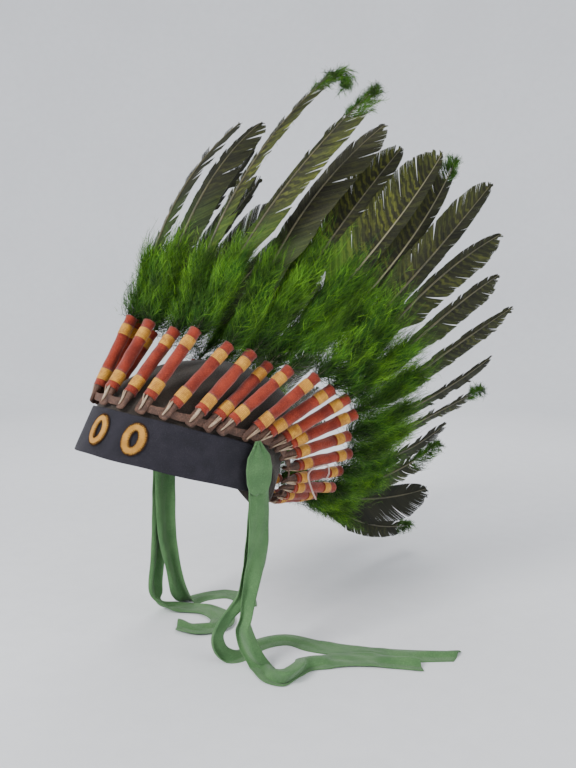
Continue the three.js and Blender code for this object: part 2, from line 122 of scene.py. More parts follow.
def add_piece(name, points, faces, materials, node, values=None, uv=None):
    """A smooth mesh object from arrays, which rides on the root and stands for a node. faces
    is a list of (face array, material number) pairs."""
    mesh = bpy.data.meshes.new(name)
    mesh.vertices.add(len(points))
    mesh.vertices.foreach_set("co", np.asarray(points, np.float32).ravel())
    corners = np.concatenate([f.ravel() for f, _ in faces]).astype(np.int32)
    sizes = np.concatenate([np.full(len(f), f.shape[1]) for f, _ in faces])
    mesh.loops.add(len(corners))
    mesh.loops.foreach_set("vertex_index", corners)
    mesh.polygons.add(len(sizes))
    starts = np.concatenate([[0], np.cumsum(sizes)[:-1]]).astype(np.int32)
    mesh.polygons.foreach_set("loop_start", starts)
    slots = np.concatenate([np.full(len(f), k) for f, k in faces]).astype(np.int32)
    mesh.polygons.foreach_set("material_index", slots)
    mesh.polygons.foreach_set("use_smooth", np.ones(len(sizes), bool))
    mesh.update(calc_edges=True)
    if uv is not None:
        layer = mesh.uv_layers.new(name="UVMap")
        layer.data.foreach_set("uv", np.asarray(uv, np.float32)[corners].ravel())
    for key, value in (values or {}).items():
        layer = mesh.attributes.new(key, "FLOAT", "POINT")
        layer.data.foreach_set("value", np.asarray(value, np.float32))
    for material in materials:
        mesh.materials.append(material)
    piece = bpy.data.objects.new(name, mesh)
    bpy.context.scene.collection.objects.link(piece)
    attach(piece, "root")
    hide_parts(node)
    return piece


def add_node(tree, kind, inputs=None, **settings):
    """A shader node with its settings, and each input given a value or linked to a socket."""
    made = tree.nodes.new(kind)
    for key, value in settings.items():
        setattr(made, key, value)
    for key, value in (inputs or {}).items():
        if isinstance(value, bpy.types.NodeSocket):
            tree.links.new(value, made.inputs[key])
        else:
            made.inputs[key].default_value = value
    return made


def maths(tree, operation, first, *second):
    """One sum on one or two values."""
    return add_node(tree, "ShaderNodeMath", dict(enumerate((first, *second))),
                    operation=operation).outputs["Value"]


def spread(tree, value, low, high, out_low=0.0, out_high=1.0):
    """A value moved from low..high to a new range, and held inside it."""
    return add_node(tree, "ShaderNodeMapRange", {
        "Value": value, "From Min": low, "From Max": high, "To Min": out_low,
        "To Max": out_high}).outputs["Result"]


def mixed(tree, share, first, second, blend="MIX"):
    """Two colours mixed by a share."""
    return add_node(tree, "ShaderNodeMixRGB", {
        "Fac": share, "Color1": first, "Color2": second}, blend_type=blend).outputs["Color"]


def noise(tree, place, scale, detail, **more):
    """Noise of a scale and detail at a place."""
    return add_node(tree, "ShaderNodeTexNoise", {
        "Vector": place, "Scale": scale, "Detail": detail, **more}).outputs["Fac"]


def amount(tree, key):
    """The number that an attribute of the mesh holds."""
    return add_node(tree, "ShaderNodeAttribute", attribute_name=key).outputs["Fac"]


def new_material(name, roughness, sheen, specular):
    """A Principled material whose constant values sit on its own sockets."""
    material = bpy.data.materials.new(name)
    material.use_nodes = True
    shader = material.node_tree.nodes["Principled BSDF"]
    shader.inputs["Roughness"].default_value = roughness
    shader.inputs["Sheen Weight"].default_value = sheen
    shader.inputs["Sheen Roughness"].default_value = 0.5
    shader.inputs["Specular IOR Level"].default_value = specular
    return material, material.node_tree, shader


def finish_surface(tree, shader, colour, height, depth):
    """Joins a colour and a bump of that depth in metres to the shader."""
    bump = add_node(tree, "ShaderNodeBump", {"Height": height, "Distance": depth})
    tree.links.new(colour, shader.inputs["Base Color"])
    tree.links.new(bump.outputs["Normal"], shader.inputs["Normal"])


def mottling():
    """Node group: fine noise and broad noise on Object coordinates mix a shade, a body colour
    and flecks, and the fine noise comes out as a height too."""
    tree = bpy.data.node_groups.new("mottling", "ShaderNodeTree")
    for key, kind in (("Body", "Color"), ("Shade", "Color"), ("Fleck", "Color"),
                      ("Fine", "Float"), ("Broad", "Float"), ("Flecks", "Float")):
        tree.interface.new_socket(key, in_out="INPUT", socket_type="NodeSocket" + kind)
    tree.interface.new_socket("Color", in_out="OUTPUT", socket_type="NodeSocketColor")
    tree.interface.new_socket("Height", in_out="OUTPUT", socket_type="NodeSocketFloat")
    given = add_node(tree, "NodeGroupInput").outputs
    place = add_node(tree, "ShaderNodeTexCoord").outputs["Object"]
    fine = noise(tree, place, given["Fine"], 4.0, Roughness=0.65)
    broad = noise(tree, place, given["Broad"], 3.0)
    share = spread(tree, maths(tree, "MULTIPLY", fine, broad), 0.16, 0.34)
    body = mixed(tree, share, given["Shade"], given["Body"])
    flecks = maths(tree, "MULTIPLY", spread(tree, fine, 0.6, 0.72), given["Flecks"])
    add_node(tree, "NodeGroupOutput", {
        "Color": mixed(tree, flecks, body, given["Fleck"]), "Height": fine})
    return tree


MOTTLING = mottling()


def mottled(tree, body, shade, fleck, fine, broad, flecks):
    """The mottling placed in a material with its own colours, scales and share of flecks."""
    mix = add_node(tree, "ShaderNodeGroup", {
        "Body": (*body, 1), "Shade": (*shade, 1), "Fleck": (*fleck, 1), "Fine": fine,
        "Broad": broad, "Flecks": flecks}, node_tree=MOTTLING)
    return mix.outputs["Color"], mix.outputs["Height"]


def mottled_material(name, body, shade, fleck, fine, broad, flecks, depth,
                     roughness=0.95, sheen=0.0, specular=0.2):
    """A material of mottled body colour with shades, flecks and a fine bump."""
    material, tree, shader = new_material(name, roughness, sheen, specular)
    finish_surface(tree, shader, *mottled(tree, body, shade, fleck, fine, broad, flecks), depth)
    return material


STRING_FINISH = mottled_material(
    "pale_string", (0.72, 0.53, 0.49), (0.45, 0.30, 0.26), (0.9, 0.8, 0.76),
    fine=2600, broad=160, flecks=0.5, depth=0.0002)

string_line = smooth_route(STRING_ROUTE, 8)
string_along = np.concatenate([[0], np.cumsum(np.linalg.norm(np.diff(string_line, axis=0),
                                                             axis=1))])
string_turn = np.arange(STRING_SIDES) / STRING_SIDES * 2 * np.pi
ply = np.cos(string_turn[None, :] - string_along[:, None] / STRING_TWIST * 2 * np.pi)
string_points, string_faces = tubes(
    string_line[None], STRING_RADIUS * (0.72 + 0.28 * np.abs(ply))[None], STRING_SIDES)
string_end = add_piece("string_end_plied", string_points, [(f, 0) for f in string_faces],
                       [STRING_FINISH], "string_end")

# ---------------------------------------------------------------- cotton ties
# At each ear a doubled tab of green cotton is gathered to a point and sewn to the band, and
# two long cut strips hang from under it, fold where they touch the table and trail away.
CLOTH_WIDTH = 27 * MM
CLOTH_THICK = 0.7 * MM
# Tab, in metres: length, height of its gathered point, how far out and back it lies, and its depth of
# swell and creases and the sag of its lower end
TAB = dict(long=52 * MM, top=21 * MM, out=88.6 * MM, back=18.5 * MM, swell=2.2 * MM,
           crease=1.1 * MM, sag=1.5 * MM)
STRIP_CREASE = 0.45 * MM
SLANTED_END = 0.03           # metres of a strip's end that its slanted cut takes up
THREADS_TURN = 7000.0        # radians of weave to a metre, one turn to two threads
TABLE = -197 * MM
# Strips: place in mm, the way the strip's width lies in degrees, its tilt, and its width
# across the pleats in mm
LEFT_FRONT = np.array([
    (88.0, 21, -20, 98, 0, 26), (88, 20, -62, 98, 0, 27), (88, 18, -94, 96, 0, 26),
    (88, 12, -118, 92, 0, 19), (88, 5, -147, 84, 0, 12), (88, 2, -160, 60, 0, 16),
    (91, 7, -181, 40, 0, 22), (100, 14, -194.6, 60, 0, 22), (121, 8, -192.6, 100, 20, 20),
    (138, 12, -189, 150, 60, 16), (134, 32, -189, 200, 60, 15), (126, 48, -192, 190, 25, 20),
    (132, 74, -194.7, 150, 0, 27), (150, 100, -194.7, 135, 0, 28),
    (172, 119, -194.7, 132, 0, 24), (194, 133, -194.7, 120, 0, 17)], float)
LEFT_REAR = np.array([
    (87.1, 22, -20, 98, 0, 24), (85, 20, -62, 98, 0, 24), (82.5, 16, -100, 98, 0, 20),
    (80, 8, -130, 100, 0, 14), (72, -8, -150, 120, 20, 13), (64, -12, -170, 130, 30, 14),
    (62, -4, -187, 150, 24, 16), (66, 12, -195.6, 170, 4, 20), (57, 42, -196.4, 190, 0, 24),
    (66, 72, -196.4, 150, 0, 26), (98, 86, -196.4, 112, 0, 27), (138, 112, -196.4, 125, 0, 27),
    (170, 140, -196.4, 130, 0, 26), (203, 178, -196.4, 130, 0, 22)], float)
RIGHT_FRONT = np.array([
    (88.0, 21, -20, 98, 0, 26), (88, 20, -62, 98, 0, 27), (88, 16, -100, 96, 0, 24),
    (86, 8, -140, 92, 0, 18), (84, 4, -170, 80, 0, 20), (82, 12, -189, 20, 0, 23),
    (74, 30, -194.8, 40, 0, 26), (50, 50, -194.8, 80, 0, 27), (22, 52, -194.8, 100, 0, 27),
    (4, 36, -194.8, 160, 0, 26), (12, 12, -194.8, 200, 0, 26), (34, 2, -194.8, 240, 0, 22)],
    float)
RIGHT_REAR = np.array([
    (87.1, 22, -20, 98, 0, 24), (85, 20, -62, 98, 0, 24), (82.5, 20, -110, 98, 0, 22),
    (80, 26, -150, 100, 0, 18), (80, 34, -178, 120, 0, 20), (84, 48, -194, 160, 0, 24),
    (86, 70, -196.4, 170, 0, 26), (76, 96, -196.4, 210, 0, 27), (50, 104, -196.4, 260, 0, 27),
    (26, 90, -196.4, 300, 0, 24)], float)


def weave():
    """Node group: two crossed waves on the UV map, which is in metres, give the threads of a
    plain weave as a height, which the cotton also uses as painted highlight on the threads and
    painted shade between them."""
    tree = bpy.data.node_groups.new("plain_weave", "ShaderNodeTree")
    tree.interface.new_socket("Threads", in_out="INPUT", socket_type="NodeSocketFloat")
    tree.interface.new_socket("Height", in_out="OUTPUT", socket_type="NodeSocketFloat")
    given = add_node(tree, "NodeGroupInput").outputs
    place = add_node(tree, "ShaderNodeUVMap", uv_map="UVMap").outputs["UV"]
    axis = add_node(tree, "ShaderNodeSeparateXYZ", {"Vector": place}).outputs
    across, along = (maths(tree, "SINE", maths(tree, "MULTIPLY", axis[key], given["Threads"]))
                     for key in ("X", "Y"))
    crossed = maths(tree, "MULTIPLY", across, along)
    add_node(tree, "NodeGroupOutput", {"Height": spread(tree, crossed, -1.0, 1.0)})
    return tree


def cotton_material():
    """Green cotton: plain weave, slubs and worn paler patches, with painted highlight on the threads
    and painted shade between them.
    """
    material, tree, shader = new_material("green_cotton", 0.9, sheen=0.15, specular=0.2)
    threads = add_node(tree, "ShaderNodeGroup", {"Threads": THREADS_TURN},
                       node_tree=weave()).outputs["Height"]
    colour, _ = mottled(tree, (0.105, 0.225, 0.085), (0.07, 0.16, 0.06), (0.2, 0.34, 0.16),
                        fine=900.0, broad=45.0, flecks=0.5)
    # The weave's height laid over the colour: painted highlight on the threads and painted shade
    # between them.
    finish_surface(tree, shader, mixed(tree, 0.35, colour, threads, "OVERLAY"), threads, 0.00015)
    return material


COTTON = cotton_material()


def strip_surface(rows, slant, seed):
    """A strip 27 mm wide along its route. Where it is narrower it is pleated: over the width
    the height is one sine wave whose length makes up the missing width. Slow waves of half a
    millimetre crease it, and its cut end is slanted."""
    route = smooth_route(rows, 12)
    middle, turn, tilt, pleated = (route[:, :3] * MM, np.radians(route[:, 3]),
                                   np.radians(route[:, 4]), route[:, 5] * MM)
    across = np.stack([np.cos(turn) * np.cos(tilt), np.sin(turn) * np.cos(tilt),
                       np.sin(tilt)], -1)
    onward = unit(np.gradient(middle, axis=0))
    up = unit(np.cross(onward, across))
    u = np.linspace(-0.5, 0.5, 25)[None, :]
    ratio = np.clip(pleated / CLOTH_WIDTH, 0.3, 1)[:, None]
    pleat = np.sqrt(2 * (1 - ratio**2)) * CLOTH_WIDTH / (2 * np.pi)
    length = np.concatenate([[0], np.cumsum(np.linalg.norm(np.diff(middle, axis=0), axis=1))])
    run = length[:, None]
    creases = STRIP_CREASE * (np.sin(run * 90 + 5 * u + seed) * np.sin(u * 9 + seed)
                              + 0.6 * np.sin(run * 210 + 9 * u + 2 * seed))
    rise = pleat * np.sin(2 * np.pi * u + 0.6) + creases
    end = np.clip((run - run[-1] + SLANTED_END) / SLANTED_END, 0, 1)
    points = (middle[:, None] + across[:, None] * (u * ratio * CLOTH_WIDTH)[..., None]
              + up[:, None] * rise[..., None]
              + onward[:, None] * (end * slant * u)[..., None])
    floor = TABLE + CLOTH_THICK * (0.6 + 1.2 * (seed > 1))
    points[..., 2] = np.maximum(points[..., 2], floor)
    uv = np.stack(np.broadcast_arrays(run, u * CLOTH_WIDTH), -1)
    return points, uv, length[-1]


def add_sheet(name, points, uv, node, thick):
    """A cloth surface from a grid of points, given its thickness evenly on both sides."""
    rows, columns = points.shape[:2]
    piece = add_piece(name, points.reshape(-1, 3), [(lattice(rows, columns), 0)], [COTTON],
                      node, uv=uv.reshape(-1, 2))
    wall = piece.modifiers.new("cloth", "SOLIDIFY")
    wall.thickness = thick
    wall.offset = 0
    return piece


def tab_surface(side):
    """The tab: half width grows from a gathered point to its full size and rounds off below.
    It swells outwards in the middle, and creases fan out of the gathered point."""
    t = np.linspace(0, 1, 30)[:, None]
    u = np.linspace(-1, 1, 25)[None, :]
    half = np.interp(t, (0, 0.12, 0.28, 0.5, 0.75, 0.9, 0.97, 1),
                     (2.2, 6.5, 13, 15, 14, 11, 7, 3)) * MM
    down = TAB["top"] - t * TAB["long"] + TAB["sag"] * (1 - u**2) * t
    swell = TAB["swell"] * np.sin(np.pi * np.clip(t, 0.02, 0.98)) * (1 - 0.5 * u**2)
    crease = TAB["crease"] * (1 - t) ** 2 * np.cos(7 * u + 0.8)
    out = TAB["out"] + swell + crease + 0.8 * MM * t
    back = TAB["back"] + 0.5 * MM * t + u * half
    points = np.stack(np.broadcast_arrays(side * out, back, down), -1)
    uv = np.stack(np.broadcast_arrays(t * TAB["long"], u * half), -1)
    return points, uv


for side, side_name, front, rear in ((1, "left", LEFT_FRONT, LEFT_REAR),
                                     (-1, "right", RIGHT_FRONT, RIGHT_REAR)):
    node = f"tie_{side_name}"
    for tail, rows, slant, seed in (("front", front, -0.009, 2), ("rear", rear, 0.008, 1)):
        points, uv, length = strip_surface(rows, slant, seed)
        points[..., 0] *= side
        strip = add_sheet(f"{node}_{tail}_strip", points, uv, node, CLOTH_THICK)
    points, uv = tab_surface(side)
    tab = add_sheet(f"{node}_tab", points, uv, node, 2.5 * CLOTH_THICK)

# ---------------------------------------------------------------- felt cap
# A plain brown-grey skull cap of wool felt carries the feathers. It leans back with the band,
# its rim is cut straight across the brow and drops to the nape.
LEAN_BACK = np.radians(18)
# Oval of the quill ends, in mm from the middle of the band: half its length and width, its
# shift forwards and height; drop: its fall to the nape, between start and end degrees
RING = dict(front=109.3, side=82.8, shift=2, height=22, drop=56, start=105, end=185)
# Cap: dome: its height over the wall; slant: its lean back for each mm of rise; round: power
# of its reach; rim: height at the brow, and under_ring: below the quill ends at the nape
CAP = dict(front=104.4, side=77.9, shift=2, felt=2.0, dome=79, slant=0.42, round=0.98, rim=-8,
           under_ring=9, rim_turns=(99, 118), sides=96, wall_rings=10, dome_rings=33, sunk=0.8,
           dent=0.7)


def seated(points):
    """Millimetres in the band's own frame to metres on an upright head: the whole headdress
    turns back about X by the lean."""
    c, s = np.cos(LEAN_BACK), np.sin(LEAN_BACK)
    x, y, z = np.moveaxis(points, -1, 0)
    return np.stack([x, y * c + z * s, z * c - y * s], -1) * MM


def eased(x, low, high):
    """0 below low, 1 above high, and a smooth cubic step between them."""
    t = np.clip((x - low) / (high - low), 0, 1)
    return t * t * (3 - 2 * t)


def on_oval(degrees, front, side, shift, height):
    """A point of a level oval: side times sine across, front times cosine forwards."""
    turn = np.radians(degrees)
    return np.stack(np.broadcast_arrays(
        side * np.sin(turn), -(front * np.cos(turn) + shift), height), -1)


def ring_height(degrees):
    """Height of the quill ends: level at the brow, and down to the nape past the ears."""
    away = np.abs((degrees + 180) % 360 - 180)
    return RING["height"] - RING["drop"] * eased(away, RING["start"], RING["end"])


def cap_skin(depth, inwards):
    """Rim, wall and dome of the cap at one depth in the felt. The dome's reach is a power of
    a cosine and its height a sine, slanting back, and slow waves dent it."""
    degrees = np.linspace(0, 360, CAP["sides"], endpoint=False)[None, :]
    away = np.abs((degrees + 180) % 360 - 180)
    nape = ring_height(degrees) - CAP["under_ring"]
    rim = CAP["rim"] + (nape - CAP["rim"]) * eased(away, *CAP["rim_turns"])
    wall = np.linspace(0, 1, CAP["wall_rings"])[:, None]
    wall_points = on_oval(degrees, CAP["front"] - depth, CAP["side"] - depth, CAP["shift"],
                          rim + (RING["height"] - rim) * wall)
    climb = np.linspace(0, 1, CAP["dome_rings"] + 1)[1:, None] ** 0.8 * np.pi / 2 * 0.992
    reach = np.cos(climb) ** CAP["round"]
    rise = (CAP["dome"] - depth) * np.sin(climb)
    dome_points = on_oval(degrees, (CAP["front"] - depth) * reach,
                          (CAP["side"] - depth) * reach, CAP["shift"] - CAP["slant"] * rise,
                          RING["height"] + rise)
    points = np.vstack([wall_points, dome_points])
    dent = CAP["dent"] * np.sin(points[..., 0] / 11 + points[..., 2] / 17) * np.sin(
        points[..., 1] / 13) * np.clip(points[..., 2] / 40, 0, 1)
    points[..., 2] -= CAP["sunk"] + dent
    return points[::-1] if inwards else points


outer, inner = cap_skin(0, True), cap_skin(CAP["felt"], False)
cap_points = seated(np.vstack([outer, inner]))
# The felt's colours are its own grey-brown made darker: painted shade for the shadow the cap lies in
# under the feathers.
CAP_FELT_DARKENED_FOR_SHADE = mottled_material(
    "cap_felt", (0.055, 0.044, 0.035), (0.026, 0.021, 0.017), (0.14, 0.12, 0.10),
    fine=900, broad=35, flecks=0.35, depth=0.0006, sheen=0.15)
add_piece("felt_cap_blocked", cap_points.reshape(-1, 3), tube_faces(*cap_points.shape[:2]),
          [CAP_FELT_DARKENED_FOR_SHADE], "felt_cap")

# ---------------------------------------------------------------- brow band
# A strip of thick dark blue felt goes round the brow from ear to ear, over the cap's rim. Its
# cut edges are softly rounded and slightly hairy.
# end: degrees from the brow to each end; corner: power that rounds its cut edges
BAND = dict(height=44, felt=2.2, end=103, top_front=107, top_side=80.5, top_shift=2,
            foot_front=112, foot_side=84, foot_shift=4, corner=0.22, sides=56, rings=150)


def on_band(degrees, rise, depth):
    """A point of the band: rise from 0 at the foot to 1 at the top edge, depth inwards."""
    def mix(foot, top):
        return foot + (top - foot) * rise
    return on_oval(degrees, mix(BAND["foot_front"], BAND["top_front"]) - depth,
                   mix(BAND["foot_side"], BAND["top_side"]) - depth,
                   mix(BAND["foot_shift"], BAND["top_shift"]), (rise - 0.5) * BAND["height"])


def rounded(turn, power):
    """Cosine and sine of a turn raised to a small power: a rectangle with rounded corners."""
    c, s = np.cos(turn), np.sin(turn)
    return np.sign(c) * np.abs(c) ** power, np.sign(s) * np.abs(s) ** power


band_turn = np.linspace(0, 2 * np.pi, BAND["sides"], endpoint=False)[None, :]
band_degrees = np.linspace(-BAND["end"], BAND["end"], BAND["rings"])[:, None]
deep, tall = rounded(band_turn, BAND["corner"])
wave = 0.35 * np.sin(band_degrees / 9) * np.sin(band_degrees / 23 + 1)
band_points = seated(on_band(
    band_degrees, 0.5 + 0.5 * tall + 0.006 * np.sin(band_degrees / 6 + 0.3),
    BAND["felt"] * (0.5 + 0.5 * deep) + np.abs(wave) * (0.4 - 0.2 * tall)))
BAND_FELT = mottled_material(
    "navy_felt", (0.027, 0.025, 0.033), (0.017, 0.016, 0.021), (0.10, 0.10, 0.12),
    fine=1100, broad=60, flecks=0.3, depth=0.0005, sheen=0.1)
add_piece("brow_band_felt", band_points.reshape(-1, 3), tube_faces(*band_points.shape[:2]),
          [BAND_FELT], "brow_band")

# ---------------------------------------------------------------- felt rings on the band
# Two plain oval rings of golden felt sit on the brow, sewn down over their edges with close
# stitches of dark brown thread.
# Half width and height of the oval, width and thickness of its felt, and its gap to the band
ORNAMENT = dict(wide=11, tall=14.5, stroke=7, thick=1.8, gap=0.6, sides=20, rings=72)
STITCHES = ((0.2, -1, 46), (ORNAMENT["stroke"] - 0.2, 1, 22))    # inset, way and number
STITCH_THREAD, EDGE_THREAD = 0.34 * MM, 0.5 * MM
PER_DEGREE = np.radians(1) * (BAND["top_front"] + BAND["top_side"]) / 2
GOLD_FELT = mottled_material(
    "golden_felt", (0.62, 0.31, 0.055), (0.42, 0.19, 0.03), (0.85, 0.55, 0.2),
    fine=1300, broad=140, flecks=0.5, depth=0.0006, sheen=0.2)
BROWN_THREAD = mottled_material(
    "brown_thread", (0.085, 0.040, 0.014), (0.045, 0.020, 0.008), (0.2, 0.11, 0.05),
    fine=3000, broad=300, flecks=0.4, depth=0.0002)


def on_ring(degrees, rise, turn, inset, depth):
    """A point of the oval ring: inset inwards from its outer edge, laid on the band."""
    return on_band(degrees + (ORNAMENT["wide"] - inset) * np.cos(turn) / PER_DEGREE,
                   rise + (ORNAMENT["tall"] - inset) * np.sin(turn) / BAND["height"], depth)


def joined(parts):
    """Several (points, faces, values) parts as one: points stacked, and face numbers moved on
    by the points before them. values maps an attribute's name to one number for the part or
    to one for each of its points."""
    points, faces, values, moved = [], [], {}, 0
    for part_points, part_faces, part_values in parts:
        points.append(part_points)
        faces += [(f + moved, slot) for f, slot in part_faces]
        for key, value in part_values.items():
            values.setdefault(key, []).append(np.broadcast_to(value, len(part_points)))
        moved += len(part_points)
    return np.vstack(points), faces, {k: np.concatenate(v) for k, v in values.items()}


for name, degrees, rise in (("band_ornament_right", 10, 0.54), ("band_ornament_left", 35, 0.52)):
    turn = np.linspace(0, 2 * np.pi, ORNAMENT["rings"], endpoint=False)[:, None]
    wide, deep = rounded(
        np.linspace(0, 2 * np.pi, ORNAMENT["sides"], endpoint=False)[None, :], 0.5)
    ragged = 0.18 * np.sin(turn * 17) + 0.12 * np.sin(turn * 29 + 1)
    body = seated(on_ring(
        degrees, rise, turn, ORNAMENT["stroke"] / 2 + wide * (ORNAMENT["stroke"] / 2 + ragged),
        -ORNAMENT["gap"] - ORNAMENT["thick"] / 2 * (1 + deep)))
    parts = [(body.reshape(-1, 3), [(lattice(*body.shape[:2], True, True), 0)], {})]
    for edge, way, count in STITCHES:
        start = (np.arange(count) / count * 2 * np.pi + 0.03 * np.sin(np.arange(count) * 5))
        t = np.linspace(0, 1, 6)[None, :]
        line = seated(on_ring(
            degrees, rise, start[:, None] + 0.05 * t, edge - way * (1.9 * t - 1.0),
            -ORNAMENT["gap"] - ORNAMENT["thick"] * (1.12 * np.sin(np.pi * (0.12 + 0.5 * t)))))
        points, faces = tubes(line, STITCH_THREAD, 5)
        parts.append((points, [(f, 1) for f in faces], {}))
        around = np.linspace(0, 2 * np.pi, 90, endpoint=False)[None, :]
        line = seated(on_ring(degrees, rise, around, edge + way * 0.75,
                              -ORNAMENT["gap"] - 0.5 + 0.15 * np.sin(around * 23)))
        points, faces = tubes(line, EDGE_THREAD, 6, closed=True)
        parts.append((points, [(f, 1) for f in faces], {}))
    points, faces, _ = joined(parts)
    add_piece(f"{name}_sewn", points, faces, [GOLD_FELT, BROWN_THREAD], name)

# ---------------------------------------------------------------- the ring of feathers
# Thirty-one wing feathers stand in a ring round the cap, each on its own line. The near side's
# are placed one by one, the far side's carry the fan on evenly.
# at: degrees round the band from the brow to the wearer's left; flare, heading: lean of the
# quill and its way; length in mm; kink, drift: bend where the blade leaves the wrap; bend,
# sway: curve of the blade; curl: hook of the tip; wide, narrow: halves of the vane in mm, wide
# on the rear edge where rear is 1; turn: extra turn of the blade.
COLUMNS = ("at", "flare", "heading", "length", "kink", "drift", "bend", "sway", "curl",
           "wide", "narrow", "rear", "turn")
FEATHERS = [dict(zip(COLUMNS, row)) for row in (
    (-36, 14, 180, 335, 4, 3, 2, 1, 0, 15, 7, 1, 0),
    (-21, 15, 204, 343, -16, 10, 35, 2, 0, 15, 7, 1, -45),
    (4, 21, 200, 355, -21, 11, 37, -8, 0, 20, 8, 1, -45),
    (19, 26, 192, 448, -24, 6, 30, 20, 200, 23, 9, 1, 0),
    (32, 22, 177, 402, -7, -2, 6, 32, 0, 32, 10, 1, 0),
    (45, 30, 172, 394, -17, -11, 18, 25, 0, 30, 14, 1, 0),
    (59, 31, 179, 384, -11, 2, 7, 2, 0, 28, 14, -1, 0),
    (68, 37, 186, 412, -14, 24, 5, -29, 0, 34, 10, -1, -9),
    (75, 37, 171, 419, -5, 6, -10, -20, 0, 28, 10, -1, 0),
    (89, 37, 160, 395, -4, -4, -6, 0, 0, 24, 13, -1, 0),
    (97, 43, 161, 378, -17, -4, 25, -4, 0, 29, 9, 1, 1),
    (108, 46, 158, 346, -12, -3, 19, -15, 0, 28, 9, 1, 0),
    (114, 54, 162, 355, -8, -9, 3, 1, 0, 26, 8, 1, 0),
    (123, 65, 180, 359, -9, 7, -5, -12, 0, 22, 8, 1, 0),
    (134, 70, 181, 345, -11, -1, -3, 6, 0, 24, 8, 1, 0),
    (146, 75, 188, 319, -3, 2, -22, 3, 0, 24, 9, 1, 15),
    (153, 83, 191, 314, -8, 3, -28, 12, 0, 24, 9, 1, 34),
    (163, 86, 202, 338, 3, 14, -21, 12, 0, 28, 12, 1, 60),
    (174, 84, 202, 338, 23, 20, -30, -5, 0, 22, 9, 1, 50),
    (186, 84, 206, 335, 2, 6, -8, 0, 0, 26, 9, 1, 0),
    (198, 82, 209, 330, -6, 4, -6, 0, 0, 26, 9, 1, 0),
    (210, 78, 210, 325, -8, 2, -6, 0, 0, 26, 9, 1, 0),
    (221, 71, 209, 330, -8, 0, -4, 0, 0, 26, 10, 1, 0),
    (232, 64, 207, 335, -7, 0, -2, 0, 0, 28, 10, 1, 0),
    (243, 55, 204, 340, -6, 2, 2, 0, 0, 28, 10, 1, 0),
    (254, 47, 202, 350, -5, 3, 4, 0, 0, 30, 10, 1, 0),
    (265, 41, 199, 355, -4, 2, 4, 0, 0, 30, 10, -1, 0),
    (276, 37, 196, 355, -3, 0, 6, 0, 0, 30, 10, -1, 0),
    (288, 33, 192, 350, -2, -2, 8, 0, 0, 28, 10, -1, 0),
    (300, 28, 188, 340, -2, -3, 8, 0, 0, 26, 10, 1, 0),
    (312, 21, 184, 335, 0, -2, 6, 0, 0, 20, 8, 1, 0),
)]
KINK = (95, 150)             # mm up the shaft over which it bends out of the wrap
CURL_START = 0.86            # share of the blade where its tip's hook starts
# start: foot of the blade; from free to full it widens out of the tuft; turn: its set to the
# ring; room: share of the way to the next shaft that it may fill inside the tuft
BLADE = dict(start=180, free=190, full=228, turn=20, room=0.62)
SHAFT_STEP = 2.5


def turned(way, back, left):
    """Ways turned back over the head about X, then towards the wearer's left: cosine of the
    way plus sine of the part of X that is square to it."""
    x, y, z = np.moveaxis(way, -1, 0)
    c, s = np.cos(back), np.sin(back)
    v = np.stack(np.broadcast_arrays(x, y * c + z * s, z * c - y * s), -1)
    side = unit(np.array([1.0, 0, 0]) - v * v[..., :1])
    return v * np.cos(left)[..., None] + side * np.sin(left)[..., None]


def heading_of(feather, along):
    """The shaft's way at distances along it: the quill's own lean, a kink where the blade
    leaves the wrap, an even bend up to the tip, and a hook over its last part."""
    flare, heading = np.radians(feather["flare"]), np.radians(feather["heading"])
    quill = np.array([np.sin(flare) * np.sin(heading), -np.sin(flare) * np.cos(heading),
                      np.cos(flare)])
    kink = eased(along, *KINK)
    free = np.clip((along - KINK[1]) / (feather["length"] - KINK[1]), 0, 1)
    back = feather["kink"] * kink + feather["bend"] * free + feather["curl"] * eased(
        free, CURL_START, 1)
    left = feather["drift"] * kink + feather["sway"] * free
    return turned(quill, np.radians(back), np.radians(left))


def shaft_line(feather):
    """Places along the shaft: the foot on the ring plus the sum of the ways so far."""
    foot = on_oval(feather["at"], RING["front"], RING["side"], RING["shift"],
                   ring_height(feather["at"]))
    middle = np.arange(0, feather["length"], SHAFT_STEP) + SHAFT_STEP / 2
    return np.vstack([foot, foot + np.cumsum(heading_of(feather, middle), 0) * SHAFT_STEP])


for feather in FEATHERS:
    feather["line"] = shaft_line(feather)


def on_shaft(feather, along, turn=0.0):
    """Place and axes at distances along: onward, across towards the rear edge, and outward,
    turned about the shaft by an angle in radians."""
    marks = np.arange(len(feather["line"])) * SHAFT_STEP
    place = np.stack([np.interp(along, marks, feather["line"][:, k]) for k in range(3)], -1)
    onward = heading_of(feather, along)
    at = np.radians(feather["at"])
    round_way = np.array([RING["side"] * np.cos(at), RING["front"] * np.sin(at), 0])
    flat = unit(round_way - onward * (onward @ round_way)[..., None])
    out = np.cross(flat, onward)
    c, s = np.cos(turn), np.sin(turn)
    return place, onward, flat * c + out * s, out * c - flat * s


def room_beside(number, along):
    """Distance to the nearer neighbour's shaft at distances along."""
    place = on_shaft(FEATHERS[number], along)[0]
    others = np.vstack([FEATHERS[(number + 1) % len(FEATHERS)]["line"],
                        FEATHERS[number - 1]["line"]])
    return np.linalg.norm(place[:, None] - others[None], axis=-1).min(1)


# ---------------------------------------------------------------- wrapped quills
# Each quill's butt is bound with red felt, then with two bands of golden thread. Below the
# felt its trimmed end is folded over in brown leather, and a leather lace runs through the ends.
# Felt from foot to end, thread bands lower and upper, and the radius of felt and thread, in mm
WRAP = dict(foot=20, lower=(26, 37.6), upper=(76.6, 87.8), end=97.5, felt=5.75, thread=6.3)
